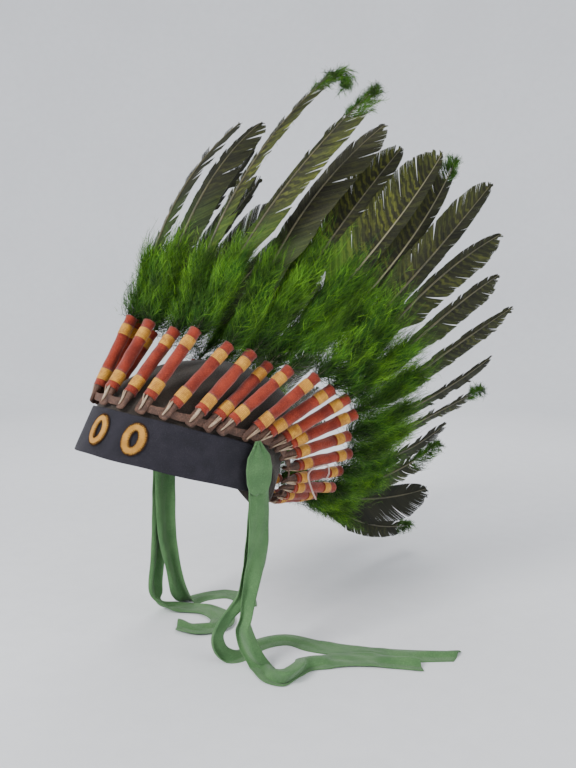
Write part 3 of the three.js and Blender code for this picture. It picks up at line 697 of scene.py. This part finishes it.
# along: where the lace goes through a quill; run: quills to one lace
LACE = dict(along=10, height=7.6, thick=1.6, run=4, between=10, sag=0.9, sides=12)
RED_FELT = mottled_material(
    "red_felt", (0.34, 0.045, 0.020), (0.17, 0.020, 0.011), (0.55, 0.15, 0.09),
    fine=1000, broad=70, flecks=0.45, depth=0.0007, sheen=0.25)
# The leather's colours are made darker than its own brown: painted shade for the shadow between the
# folded quill ends and along the lace.
LEATHER_DARKENED_FOR_SHADE = mottled_material(
    "brown_leather_darkened_for_shade", (0.125, 0.062, 0.040), (0.050, 0.025, 0.017), (0.28, 0.17, 0.11),
    fine=700, broad=120, flecks=0.5, depth=0.0004, roughness=0.7, specular=0.4)
CUT_QUILL = mottled_material(
    "cut_quill", (0.50, 0.38, 0.26), (0.28, 0.18, 0.11), (0.68, 0.58, 0.44),
    fine=900, broad=150, flecks=0.4, depth=0.0002, roughness=0.55, specular=0.5)


def thread_material():
    """Golden thread: uneven dye along the quill, and painted shade darkening it between the turns."""
    material, tree, shader = new_material("golden_thread", 0.62, sheen=0.2, specular=0.4)
    colour, height = mottled(tree, (0.80, 0.40, 0.030), (0.48, 0.20, 0.014), (0.95, 0.66, 0.18),
                             fine=700.0, broad=150.0, flecks=0.6)
    # Painted shade: the thread turns dark brown in the grooves between its turns.
    colour = mixed(tree, amount(tree, "groove"), colour, (0.2, 0.06, 0.012, 1))
    finish_surface(tree, shader, colour, height, 0.0002)
    return material


GOLD_THREAD = thread_material()
WRAP_SIDES = 14
THREAD_PITCH = 1.45          # mm from one turn of thread to the next


def quill_wrap(feather, seed):
    """Felt tube and its two thread bands as one surface of turning: the radius is the felt's,
    uneven and with an overlapped edge along it, or the thread's with one ridge to each turn."""
    chance = np.random.default_rng(seed)
    phase = chance.uniform(0, 6.28, 8)
    felt_rows = [np.linspace(WRAP["foot"], WRAP["lower"][0], 4),
                 np.linspace(*WRAP["lower"], 33),
                 np.linspace(WRAP["lower"][1], WRAP["upper"][0], 12),
                 np.linspace(*WRAP["upper"], 33), np.linspace(WRAP["upper"][1], WRAP["end"], 5)]
    along = np.concatenate(felt_rows)
    bound = np.concatenate([np.full(len(r), k % 2) for k, r in enumerate(felt_rows)])
    turn = (np.arange(WRAP_SIDES) / WRAP_SIDES * 2 * np.pi)[None, :]
    s = along[:, None]
    uneven = (0.22 * np.sin(s / 7 + phase[0] + 2 * turn) + 0.16 * np.sin(s / 3.1 + phase[1] - turn)
              + 0.12 * np.sin(3 * turn + phase[2] + s / 11))
    lap = (turn - phase[3]) % (2 * np.pi)
    seam = 0.55 * np.exp(-lap * 1.6) - 0.3 * np.exp(-((lap - 6.1) / 0.25) ** 2)
    flare_out = 0.35 * np.exp(-(s - WRAP["foot"]) / 2.5) + 0.45 * np.exp(-(WRAP["end"] - s) / 2)
    ridge = np.abs(np.sin(np.pi * (s - WRAP["lower"][0]) / THREAD_PITCH + 0.5 * turn))
    radius = np.where(bound[:, None] > 0, WRAP["thread"] - 0.5 * (1 - ridge) + 0.4 * uneven,
                      WRAP["felt"] + uneven + seam + flare_out)
    place, _, flat, out = on_shaft(feather, along)
    ring = flat[:, None] * np.cos(turn)[..., None] + out[:, None] * np.sin(turn)[..., None]
    points = place[:, None] + ring * radius[..., None]
    # Painted shade for the thread's colour: deepest in the groove between two turns, none on the
    # felt.
    groove = np.where(bound[:, None] > 0, (1 - ridge) ** 2, 0) * np.ones_like(turn)
    quads = lattice(len(along), WRAP_SIDES, wrap_columns=True)
    on_thread = np.repeat((bound[1:] + bound[:-1]) > 1, WRAP_SIDES)
    faces = [(quads[~on_thread], 0), (quads[on_thread], 1),
             (np.arange(WRAP_SIDES)[None, ::-1], 0),
             ((len(along) - 1) * WRAP_SIDES + np.arange(WRAP_SIDES)[None], 0)]
    return seated(points).reshape(-1, 3), faces, {"groove": groove.ravel()}


def quill_fold(feather, seed):
    """The folded leather below the felt: a flattened tube from a narrow rounded end up into
    the felt, with a dent down its middle, and two cut slivers of quill lying on it."""
    chance = np.random.default_rng(seed)
    twist = chance.uniform(-0.5, 0.5)
    along = np.array([2.2, 2.6, 3.8, 6, 9, 12.5, 16, 19, 22])
    wide = np.array([1.2, 3.6, 5.0, 5.5, 5.6, 5.6, 5.6, 5.4, 4.8]) * chance.uniform(0.9, 1.06)
    deep = np.array([0.5, 1.6, 2.4, 2.6, 2.7, 3.1, 4.0, 4.9, 4.6])
    turn = (np.arange(WRAP_SIDES) / WRAP_SIDES * 2 * np.pi)[None, :]
    dent = 1 - 0.3 * np.exp(-((np.abs(turn - np.pi / 2) / 0.45) ** 2)) \
        - 0.2 * np.exp(-((np.abs(turn - 3 * np.pi / 2) / 0.45) ** 2))
    place, _, flat, out = on_shaft(feather, along, twist)
    points = (place[:, None] + flat[:, None] * (wide[:, None] * np.cos(turn))[..., None]
              + out[:, None] * (deep[:, None] * np.sin(turn) * dent)[..., None])
    parts = [(seated(points).reshape(-1, 3), tube_faces(len(along), WRAP_SIDES, 2),
              {"groove": 0.0})]
    t = np.linspace(0, 1, 7)
    bold = 0.75 + 0.9 * chance.random() ** 2
    for lean, low, high, size in ((chance.uniform(-0.1, 0.6), 5, 21, 1.05 * bold),
                                  (chance.uniform(-0.9, -0.2), 7, 20, 0.65)):
        s = low + (high - low) * t
        place, _, flat, out = on_shaft(feather, s, twist)
        line = (place + flat * ((t - 0.5) * 5.5 * lean + 1.6 * lean)[:, None]
                + out * np.interp(s, along, deep + 0.25)[:, None])
        size = size * np.array([0.35, 0.8, 1, 1, 0.95, 0.8, 0.6])[:, None]
        points, faces = tubes(seated(line)[None], (size * MM)[None], 6)
        parts.append((points, [(f, 3) for f in faces], {"groove": 0.0}))
    return parts


def lace_band(run):
    """The lace through the quill ends of one run: a flat strip through the quills' middles,
    a rounded rectangle across, sagging a little between the quills."""
    ends = np.vstack([on_shaft(feather, LACE["along"])[0] for feather in run])
    line = smooth_route(ends, LACE["between"])
    step = np.arange(len(line)) / LACE["between"] * np.pi
    line[:, 2] -= LACE["sag"] * np.sin(step) ** 2
    onward = unit(np.gradient(line, axis=0))
    up = np.array([0.0, 0, 1]) - onward * onward[:, 2:]
    side = np.cross(onward, unit(up))
    wide, deep = rounded(np.linspace(0, 2 * np.pi, LACE["sides"], endpoint=False), 0.4)
    points = (line[:, None] + unit(up)[:, None] * (wide * LACE["height"] / 2)[:, None]
              + side[:, None] * (deep * LACE["thick"] / 2)[:, None])
    return (seated(points).reshape(-1, 3), tube_faces(len(line), LACE["sides"], 2),
            {"groove": 0.0})


for first in range(0, len(FEATHERS), LACE["run"]):
    run = FEATHERS[first:first + LACE["run"]]
    parts = [lace_band(run)]
    for number, feather in enumerate(run):
        parts.append(quill_wrap(feather, 100 + first + number))
        parts += quill_fold(feather, 200 + first + number)
    points, faces, values = joined(parts)
    name = f"wrapped_quills_{first // LACE['run'] + 1:02d}"
    add_piece(name + "_bound", points, faces, [RED_FELT, GOLD_THREAD, LEATHER_DARKENED_FOR_SHADE, CUT_QUILL], name,
              values)

# ---------------------------------------------------------------- feathers
# Wing feathers dyed green. Each blade is a shaft with two rows of barbs that lie on each other
# like shingles and part here and there, and loose green down grows round the shaft's foot.
# bars, glow, grey: strength of the pale bars, of the yellow-green edge and of a worn grey;
# ragged: how uneven the edge is; fluff: share of the length where barbs start to come loose;
# pale: paleness of the shaft; down: how far up the down grows; dye: green at the vane's foot;
# broad: the vane's width against the plain one; face: extra turn towards the front;
# slit: where the vane is parted, its side and its width in mm
PLAIN_LOOK = dict(bars=0.4, glow=0.2, grey=0.1, ragged=0.2, fluff=1.1, pale=0.05, down=0.8,
                  dye=0.2, broad=1.0, face=0, slit=())
LOOKS = [{**PLAIN_LOOK, **look} for look in (
    dict(bars=0.1, ragged=0.5, down=0.7),
    dict(bars=0.05, glow=0.05, down=0.6),
    dict(bars=0.25, glow=0.1, grey=0.0, down=0.7, slit=((318, 1, 3.0),)),
    dict(bars=0.8, glow=0.7, fluff=0.85, ragged=0.3, down=0.7, dye=0.4, broad=0.62),
    dict(bars=0.7, glow=0.8, fluff=0.89, down=0.8, dye=0.4, broad=0.64),
    dict(bars=0.25, glow=0.2, grey=0.5, down=0.9, broad=0.8, slit=((300, 1, 4.0),)),
    dict(bars=0.9, glow=0.4, down=1.15, dye=0.7),
    dict(bars=0.9, glow=0.4, pale=0.4, down=1.2, dye=0.8),
    dict(bars=0.5, glow=0.4, pale=0.4, fluff=0.92, down=1.1, broad=0.95),
    dict(bars=0.5, glow=0.3, down=1.0, broad=0.9),
    dict(bars=0.6, glow=0.3, broad=0.82, slit=((240, 1, 3.0),)),
    dict(bars=0.4, glow=0.3, ragged=0.3, broad=0.78),
    dict(bars=0.5, glow=0.3, broad=0.75),
    dict(bars=0.1, glow=0.1, broad=0.65),
    dict(bars=0.4, glow=0.4, ragged=0.5, fluff=0.9, broad=0.85),
    dict(bars=0.1, glow=0.1, ragged=0.4),
    dict(bars=0.4, glow=0.6, ragged=0.7, fluff=0.8, broad=1.1),
    dict(bars=0.0, glow=0.0, grey=0, dye=0, ragged=0.05, pale=0.0, face=10, broad=1.25),
    dict(bars=0.2, glow=0.1, fluff=0.9, ragged=0.3, broad=0.9))]
NEAR = len(LOOKS)            # the feathers of the near side, seen best
LOOKS += [PLAIN_LOOK] * (len(FEATHERS) - NEAR)
BARS_TURN = 640.0            # radians of the pale bars to a metre of shaft


def barred_green():
    """Vane: dark olive barbs with wavy yellow-green bars across, near-black narrow halves and
    bright dye at the foot. UV is root along and reach across in metres; attributes give each
    barb's bars, glow, grey, dye and shade."""
    material, tree, shader = new_material("dyed_vane", 0.7, sheen=0.0, specular=0.25)
    place = add_node(tree, "ShaderNodeUVMap", uv_map="UVMap").outputs["UV"]

    def stretched(scale_along, scale_across, detail):
        moved = add_node(tree, "ShaderNodeMapping", {
            "Vector": place, "Scale": (scale_along, scale_across, 1)})
        return noise(tree, moved.outputs["Vector"], 1.0, detail)

    root = add_node(tree, "ShaderNodeSeparateXYZ", {"Vector": place}).outputs["X"]
    warp = maths(tree, "MULTIPLY", stretched(110, 150, 3.0), 11.0)
    wave = maths(tree, "SINE", maths(
        tree, "ADD", maths(tree, "MULTIPLY", root, BARS_TURN), warp))
    patchy = maths(tree, "MULTIPLY", spread(tree, stretched(45, 60, 2.0), 0.36, 0.6), 0.7)
    streak = stretched(2600, 90, 2.0)
    bars = maths(tree, "MULTIPLY", spread(tree, wave, -0.25, 0.95), amount(tree, "bars"))
    bars = maths(tree, "MULTIPLY", bars, maths(tree, "ADD", patchy, 0.3))
    body = mixed(tree, streak, (0.007, 0.008, 0.004, 1), (0.027, 0.027, 0.011, 1))
    worn = mixed(tree, streak, (0.030, 0.028, 0.020, 1), (0.105, 0.098, 0.070, 1))
    bar = mixed(tree, streak, (0.070, 0.085, 0.010, 1), (0.19, 0.20, 0.028, 1))
    dye = mixed(tree, streak, (0.030, 0.11, 0.006, 1), (0.15, 0.33, 0.020, 1))
    glow = maths(tree, "MULTIPLY", amount(tree, "glow"),
                 spread(tree, stretched(300, 400, 3.0), 0.25, 0.75))
    shade = maths(tree, "ADD", maths(tree, "MULTIPLY", amount(tree, "shade"), 1.1), 0.20)
    colour = mixed(tree, bars, mixed(tree, amount(tree, "grey"), body, worn), bar)
    colour = mixed(tree, glow, colour, (0.25, 0.32, 0.030, 1))
    colour = mixed(tree, amount(tree, "dye"), colour, dye)
    colour = mixed(tree, 1.0, colour, shade, "MULTIPLY")
    finish_surface(tree, shader, colour, streak, 0.0003)
    return material


def shaft_material():
    """Shaft: dark brown to pale horn, by each feather's paleness, streaked along."""
    material, tree, shader = new_material("feather_shaft", 0.4, sheen=0.0, specular=0.5)
    brown, height = mottled(tree, (0.10, 0.085, 0.035), (0.03, 0.028, 0.012), (0.2, 0.2, 0.08),
                            fine=500.0, broad=60.0, flecks=0.4)
    colour = mixed(tree, amount(tree, "pale"), brown, (0.62, 0.56, 0.34, 1))
    finish_surface(tree, shader, colour, height, 0.0002)
    return material


def down_material():
    """Down: near-black green at the roots as painted shade deep inside the tuft, bright
    yellow-green at the loose ends, each strand of its own shade. Attributes give the place along the
    strand and the strand's shade."""
    material, tree, shader = new_material("dyed_down", 0.85, sheen=0.1, specular=0.15)
    shade = amount(tree, "shade")
    # Roots near black and tips bright: painted shade inside the tuft that lifts towards the loose
    # ends.
    root = mixed(tree, shade, (0.005, 0.018, 0.003, 1), (0.030, 0.11, 0.007, 1))
    tip = mixed(tree, shade, (0.016, 0.09, 0.008, 1), (0.24, 0.52, 0.035, 1))
    place = add_node(tree, "ShaderNodeTexCoord").outputs["Object"]
    patch = spread(tree, noise(tree, place, 48.0, 3.0), 0.34, 0.66, 0.35, 1.2)
    colour = mixed(tree, 1.0, mixed(tree, amount(tree, "glow"), root, tip), patch, "MULTIPLY")
    tree.links.new(colour, shader.inputs["Base Color"])
    return material


VANE, SHAFT, DOWN = barred_green(), shaft_material(), down_material()
# Barbs. first, last: where they start, and how far below the tip they stop; near, far: gap
# between them by the feather's side; clumps, clump: most clumps and their length in mm; angles:
# to the shaft, at the shares marks of the blade; tilt: of each like a shingle; cover: half a
# barb's width against the gap; foot: where the dye of the vane's foot fades out
BARB = dict(first=148.0, last=1.5, near=0.95, far=1.3, clumps=81, clump=(4, 15), tilt=13,
            marks=(0, 0.5, 0.85, 1), angles=(44, 38, 30, 20), points=7, cover=0.82,
            foot=(196, 250))
# Shaft above the wrap: its start, its radius there, at the blade's foot and at the tip, and the
# places between which its paleness fades, in mm
SHAFT_TUBE = dict(start=98, rings=70, sides=6, radius=(1.7, 1.35, 0.35),
                  pale_to=(98, 200, 360))
# Down. near, far: strands, curls and locks of one tuft; low, high, reach: where strands root, by
# how far up the down grows; strand, wisp: lengths; held, wisps: shares of strands that lie in a
# lock or fly free; out, inner, inner_far: room outwards and inwards of the shaft
TUFT = dict(near=(2300, 1900, 30), far=(1050, 800, 22), low=95, high=97, reach=100,
            strand=(20, 44), wisp=(42, 70), held=0.62, wisps=0.14, out=21, inner=13,
            inner_far=22, points=4)
# Curls on the down: lengths on frayed barbs and in the tuft, curls to a frayed barb, and their
# bow against their length
CURL = dict(fray=(3, 8), tuft=(4, 12), per_barb=22, points=3, bow=0.22)
PLAIN_FIBRE = dict(bars=0.0, glow=0.0, grey=0.0, dye=0.0, shade=0.5, pale=0.0)


def vane_width(feather, number, along, rear):
    """Half width of the vane on one side in mm: pinched by the neighbours inside the tuft,
    full above it, and rounded off towards the tip by a root of one minus a power."""
    full = feather["wide"] if (feather["rear"] > 0) == rear else feather["narrow"]
    marks = np.arange(BLADE["start"] - 40, feather["length"] + 1, 5.0)
    room = np.interp(along, marks, room_beside(number, marks))
    station = np.clip((along - BLADE["start"]) / (feather["length"] - BLADE["start"]), 0, 1)
    tip = np.clip((station - 0.62) / 0.38, 0, 1)
    pinched = np.minimum(BLADE["room"] * room, full)
    width = pinched + (full - pinched) * eased(along, BLADE["free"], BLADE["full"])
    return LOOKS[number]["broad"] * width * np.sqrt(np.clip(1 - tip**2.2, 0, 1))


def ribbons(lines, half, way):
    """Flat ribbons along lines of points, (ribbons, points, 3): each point moved both ways by
    half its width. Returns points and four-sided faces."""
    points = np.stack([lines - way * half[..., None], lines + way * half[..., None]], 2)
    count, long = lines.shape[:2]
    first = (np.arange(count) * long * 2)[:, None] + (np.arange(long - 1) * 2)[None, :]
    faces = np.stack([first, first + 1, first + 3, first + 2], -1).reshape(-1, 4)
    return points.reshape(-1, 3), faces


def any_side(lines, chance):
    """At each point of a line, a way square to the line and to a random way of its own."""
    return unit(np.cross(unit(np.gradient(lines, axis=1)),
                         unit(chance.normal(0, 1, (len(lines), 1, 3)))))


def vane_half(number, rear, seed):
    """One row of barbs. A barb leaves the shaft at an angle that narrows towards the tip and
    curves onward as a power of its reach; clumps of barbs lean together, so the edge splits;
    each barb is tilted like a shingle, and past the fluff station they come loose."""
    feather, look = FEATHERS[number], LOOKS[number]
    chance = np.random.default_rng(seed)
    side = 1.0 if rear else -1.0
    wide_half = (feather["rear"] > 0) == rear
    low, high = BARB["first"], feather["length"] - BARB["last"]
    gap = BARB["near"] if number < NEAR else BARB["far"]
    clumps = BARB["clumps"]
    root = np.arange(low, high, gap)
    root += chance.uniform(-0.25, 0.25, len(root)) * gap
    station = (root - BLADE["start"]) / (feather["length"] - BLADE["start"])
    edges = np.cumsum(chance.uniform(*BARB["clump"], clumps - 1)) + low
    clump = np.searchsorted(edges, root)
    middle = (np.concatenate([[low], edges])[clump] + edges[clump]) / 2
    loose = eased(root / feather["length"], look["fluff"] - 0.03, look["fluff"] + 0.05)
    foot = 1 - eased(root, *BARB["foot"])
    ragged = look["ragged"]
    clump_turn = chance.normal(0, 0.3 + 1.3 * ragged, clumps)[clump]
    angle = np.radians(np.interp(station, BARB["marks"], BARB["angles"]) + clump_turn
                       + chance.normal(0, 0.15 + 11 * loose))
    reach = np.full(len(root), 12.0)
    for _ in range(8):
        arrival = root + reach / np.tan(angle)
        reach = 0.5 * reach + 0.5 * np.clip(
            vane_width(feather, number, np.minimum(arrival, feather["length"] - 0.01), rear),
            0.4, None)
    short = ragged * (0.20 * chance.random(clumps)[clump] ** 2
                      + 0.10 * chance.random(len(root)))
    reach = reach * (1 - short) * (1 + loose * chance.uniform(-0.5, 0.5, len(root)))
    squeeze = (0.01 + 0.4 * (0.1 + ragged) * chance.random(clumps)[clump] ** 5)[:, None]
    v = np.linspace(0, 1, BARB["points"])[None, :]
    y = (reach / np.tan(angle))[:, None] * v**1.3
    along = root[:, None] + y + (middle - root)[:, None] * squeeze * v**2
    for mark, slit_side, width in look["slit"]:
        if slit_side == side:
            apart = root[:, None] - mark
            along += np.sign(apart) * width * np.exp(-np.abs(apart) / 14) * v**1.5
    wiggle = loose[:, None] * chance.normal(0, 1, len(root))[:, None]
    along = along + wiggle * 2.2 * np.sin(v * 5 + clump[:, None]) * v
    across = side * reach[:, None] * v
    lift = (-0.10 * reach[:, None] * v**2 * (1 if wide_half else 0.6)
            + chance.normal(0, 0.5 + 1.2 * ragged, clumps)[clump][:, None] * v**2 * 1.3
            + wiggle * 3.0 * v**1.5 - 0.25)
    blade_turn = np.radians(BLADE["turn"] + feather["turn"] + look["face"])
    place, onward, rear_way, out = on_shaft(feather, along, blade_turn)
    lines = place + rear_way * across[..., None] + out * lift[..., None]
    barb_way = unit(np.gradient(lines, axis=1))
    flat_way = unit(np.cross(out, barb_way))
    slope = np.abs((barb_way * onward).sum(-1))
    tilt = np.radians(BARB["tilt"]) * side
    way = flat_way * np.cos(tilt) + out * np.sin(tilt)
    spacing = gap * np.sqrt(np.clip(1 - slope**2, 0.02, 1))
    half = spacing * (BARB["cover"] - 0.3 * loose[:, None]) * (1 - 0.3 * v**6)
    points, faces = ribbons(lines, half, way)

    def both_edges(values):
        return np.repeat(np.broadcast_to(values, along.shape), 2)

    dark_side = 1.0 if wide_half else 0.35
    shade = np.clip(0.5 + chance.normal(0, 0.13, len(root))
                    + chance.normal(0, 0.12, clumps)[clump], 0.05, 1)
    values = {key: both_edges(value) for key, value in (
        ("bars", look["bars"] * dark_side * (1 - 0.6 * loose)[:, None] * (1 - 0.2 * v)),
        ("glow", look["glow"] * dark_side * 0.55 * v**1.5 * (1 - 0.5 * foot)[:, None]),
        ("grey", look["grey"] * (0.6 + 0.4 * v)),
        ("dye", np.clip(look["dye"] * foot + 0.4 * loose, 0, 1)[:, None] * (1 - 0.25 * v)),
        ("shade", shade[:, None] * (1.05 - 0.25 * np.abs(2 * v - 0.9))), ("pale", 0.0))}
    uv = np.stack([both_edges(root[:, None] * MM + 0.3 * y * MM), both_edges(across * MM)], -1)
    parts = [((seated(points), [(faces, 0)], values), uv)]
    frayed = loose > 0.3
    if frayed.sum() > 4:
        fuzz = barbules(lines[frayed], 0.35 * shade[frayed], CURL["per_barb"] * frayed.sum(),
                        CURL["fray"], chance)
        parts.append(down_part(*fuzz))
    return parts


def barbules(lines, shade, count, sizes, chance):
    """Short curls that branch off lines at random places: start plus a leaning way times the
    curl's share, bowed by a half sine. Returns lines, half widths, ways, glow and shade."""
    spans = lines.shape[1] - 1
    parent = chance.integers(0, len(lines), count)
    share = chance.uniform(0.25, 1, count) * (spans - 0.01)
    knot = share.astype(int)
    step = lines[parent, knot + 1] - lines[parent, knot]
    start = lines[parent, knot] + step * (share - knot)[:, None]
    onward = unit(step)
    aside = unit(chance.normal(0, 1, (count, 3)))
    aside = unit(aside - onward * (aside * onward).sum(-1, keepdims=True))
    size = chance.uniform(*sizes, count)[:, None]
    lean = chance.uniform(0.2, 1.0, count)[:, None]
    bow = unit(chance.normal(0, 1, (count, 3))) * size * CURL["bow"]
    u = np.linspace(0, 1, CURL["points"])[None, :, None]
    curls = (start[:, None] + (onward * np.cos(lean) + aside * np.sin(lean))[:, None]
             * size[:, None] * u + bow[:, None] * np.sin(np.pi * u))
    way = any_side(curls, chance)
    half = chance.uniform(0.14, 0.26, count)[:, None] * (1 - 0.7 * u[..., 0])
    # Curls further out on their strand take more of the tip colour and less of the root's painted
    # shade.
    glow = (0.25 + 0.75 * share / spans)[:, None] * np.ones(CURL["points"])
    return curls, half, way, glow, np.clip(shade[parent] + chance.normal(0.05, 0.15, count), 0, 1)


def down_part(lines, half, way, glow, shade):
    """Ribbons of down with their place along and shade as attributes."""
    points, faces = ribbons(lines, half, way)
    shape = (*lines.shape[:2], 2)
    values = dict(PLAIN_FIBRE, glow=np.broadcast_to(glow[..., None], shape).ravel(),
                  shade=np.broadcast_to(shade[:, None, None], shape).ravel())
    return (seated(points), [(faces, 2)], values), np.zeros((len(points), 2))


def shaft_tube(number):
    """The shaft above the wrap: a round tube that thins evenly to its tip."""
    feather, look = FEATHERS[number], LOOKS[number]
    along = np.linspace(SHAFT_TUBE["start"], feather["length"] - 0.5, SHAFT_TUBE["rings"])
    place, _, _, out = on_shaft(feather, along, np.radians(BLADE["turn"]))
    radius = np.interp(along, (SHAFT_TUBE["start"], BLADE["start"], feather["length"]),
                       SHAFT_TUBE["radius"])
    points, faces = tubes(seated(place + out * 0.1)[None], (radius * MM)[None, :, None],
                          SHAFT_TUBE["sides"])
    fading = np.interp(along, SHAFT_TUBE["pale_to"], (1, 0.9, 0.6))
    pale = np.repeat(look["pale"] * fading, SHAFT_TUBE["sides"])
    return ((points, [(f, 1) for f in faces], dict(PLAIN_FIBRE, pale=pale)),
            np.zeros((len(points), 2)))


def tuft(number, seed):
    """Loose down round the shaft's foot. A strand leaves the shaft at its own angle and bends
    onward along it: place plus onward times cosine plus a side way times sine of an angle
    that changes, with waves across; it stays within the room beside the neighbours. Short
    curls branch off the strands every way and make the down fluffy."""
    feather, look = FEATHERS[number], LOOKS[number]
    near = number < NEAR
    chance = np.random.default_rng(seed)
    count, curls, locks = TUFT["near"] if near else TUFT["far"]
    low, high = TUFT["low"], TUFT["high"] + TUFT["reach"] * look["down"]
    root = low + (high - low) * chance.random(count) ** 1.15
    lock = chance.integers(0, locks, count)
    lock_turn = chance.uniform(0, 2 * np.pi, locks)
    lock_root = np.sort(chance.uniform(low + 3, high, locks))
    held = chance.random(count) < TUFT["held"]
    root = np.where(held, 0.3 * root + 0.7 * lock_root[lock], root)
    turn = np.where(held, lock_turn[lock] + chance.normal(0, 0.4, count),
                    chance.uniform(0, 2 * np.pi, count))
    length = chance.uniform(*TUFT["strand"], count) * (0.55 + 0.45 * look["down"])
    length *= np.where(held, chance.uniform(0.6, 1.45, locks)[lock], 1)
    start_angle = np.radians(chance.uniform(25, 80, count)
                             + (root < 115) * chance.uniform(0, 110, count))
    end_angle = np.radians(np.where(held, chance.uniform(-5, 45, locks)[lock], 24.0)
                           + chance.normal(0, 14, count))
    wisp = chance.random(count) < TUFT["wisps"]
    length = np.where(wisp, chance.uniform(*TUFT["wisp"], count) * (0.4 + 0.6 * look["down"]),
                      length)
    end_angle = np.where(wisp, 0.15 * end_angle, end_angle)
    v = np.linspace(0, 1, TUFT["points"])[None, :]
    angle = start_angle[:, None] + (end_angle - start_angle)[:, None] * v**0.6
    step = (length / (TUFT["points"] - 1))[:, None]
    onward_run = np.cumsum(np.cos(angle) * step, 1) - np.cos(angle[:, :1]) * step
    sideways = np.cumsum(np.sin(angle) * step, 1) - np.sin(angle[:, :1]) * step
    wave = chance.uniform(0, 6.28, count)[:, None]
    sideways = sideways + 1.8 * np.sin(6 * v + wave) * v
    twist = 0.5 * np.sin(5 * v + 2 * wave) * v
    room = np.clip(0.66 * room_beside(number, root), 5, 15)[:, None]
    room = room * np.interp(onward_run + root[:, None], (100, 150, 220), (1.0, 1.0, 1.25))
    flat_run = sideways * np.cos(turn[:, None] + twist)
    out_run = sideways * np.sin(turn[:, None] + twist)
    flat_run = room * np.tanh(flat_run / room)
    inner = (TUFT["inner"] if near else TUFT["inner_far"]) + 16 * (root < 128)[:, None]
    limit = np.where(out_run > 0, TUFT["out"], inner)
    out_run = limit * np.tanh(out_run / limit)
    along = np.minimum(root[:, None] + onward_run, feather["length"] - 2)
    place, _, flat, out = on_shaft(feather, along)
    lines = place + flat * flat_run[..., None] + out * out_run[..., None]
    way = any_side(lines, chance)
    half = chance.uniform(0.16, 0.36, count)[:, None] * (1 - 0.75 * v**1.5)
    # Strands rooted low, at the tuft's foot over the wrap ends, are made darker: painted shade.
    strand = np.clip(0.42 + 0.45 * np.where(held, chance.normal(0, 1, locks)[lock], 0)
                     + chance.normal(0, 0.14, count) - 0.2 * (root < 112), 0, 1)
    # The place along each strand takes it from the root's painted shade to the tip colour.
    return [down_part(lines, half, way, np.broadcast_to(v**1.2, half.shape), strand),
            down_part(*barbules(lines, strand, curls, CURL["tuft"], chance))]


for number in range(len(FEATHERS)):
    made = [*vane_half(number, True, 1000 + number), *vane_half(number, False, 2000 + number),
            shaft_tube(number), *tuft(number, 3000 + number)]
    points, faces, values = joined([part for part, _ in made])
    name = f"feather_{number + 1:02d}"
    add_piece(name + "_plume", points, faces, [VANE, SHAFT, DOWN], name, values,
              uv=np.vstack([uv for _, uv in made]))

# ---------------------------------------------------------------- table, backdrop and light
# A pale round table top that rises far out into a soft wall, under a large soft lamp at the
# upper left, a weaker one at the right and a wide one behind.
STAGE_SIDES = 96
FLAT_OUT_TO, BEND, WALL_TOP = 1.9, 0.7, 2.2      # metres of flat top, bend and wall
turn = np.linspace(0, 2 * np.pi, STAGE_SIDES, endpoint=False)[None, :]
flat, bend = np.linspace(0.02, FLAT_OUT_TO, 24), np.linspace(0, 1.5, 14)
out_to = np.concatenate([flat, FLAT_OUT_TO + BEND * np.sin(bend), [2.62]])
rise = np.concatenate([np.zeros(len(flat)), BEND * (1 - np.cos(bend)), [WALL_TOP]])
dish = np.stack([out_to[:, None] * np.cos(turn), out_to[:, None] * np.sin(turn),
                 TABLE + rise[:, None] * np.ones_like(turn)], -1)
mesh = bpy.data.meshes.new("table_and_wall")
quads = lattice(len(out_to), STAGE_SIDES, wrap_columns=True)
mesh.from_pydata(dish.reshape(-1, 3).tolist(), [],
                 quads[:, ::-1].tolist() + [list(range(STAGE_SIDES))])
mesh.polygons.foreach_set("use_smooth", np.ones(len(mesh.polygons), bool))
PALE_STAGE = mottled_material(
    "pale_table", (0.86, 0.87, 0.89), (0.83, 0.84, 0.86), (0.88, 0.89, 0.91),
    fine=40, broad=3, flecks=0.1, depth=0.0001)
mesh.materials.append(PALE_STAGE)
stage = bpy.data.objects.new("table_and_wall", mesh)
bpy.context.scene.collection.objects.link(stage)

world = bpy.data.worlds.new("studio")
world.use_nodes = True
world.node_tree.nodes["Background"].inputs["Color"].default_value = (0.86, 0.88, 0.92, 1)
world.node_tree.nodes["Background"].inputs["Strength"].default_value = 0.8
bpy.context.scene.world = world

for name, place, size, power in (
        ("lamp_left", (0.15, -1.7, 1.25), 0.8, 42), ("lamp_right", (1.7, 0.5, 0.9), 1.2, 9),
        ("lamp_behind", (-1.0, 1.2, 1.3), 1.2, 12)):
    data = bpy.data.lights.new(name, "AREA")
    data.shape, data.size, data.energy = "DISK", size, power
    lamp = bpy.data.objects.new(name, data)
    lamp.location = place
    lamp.rotation_euler = (Vector((0, 0, 0.08)) - Vector(place)).to_track_quat(
        "-Z", "Y").to_euler()
    bpy.context.scene.collection.objects.link(lamp)
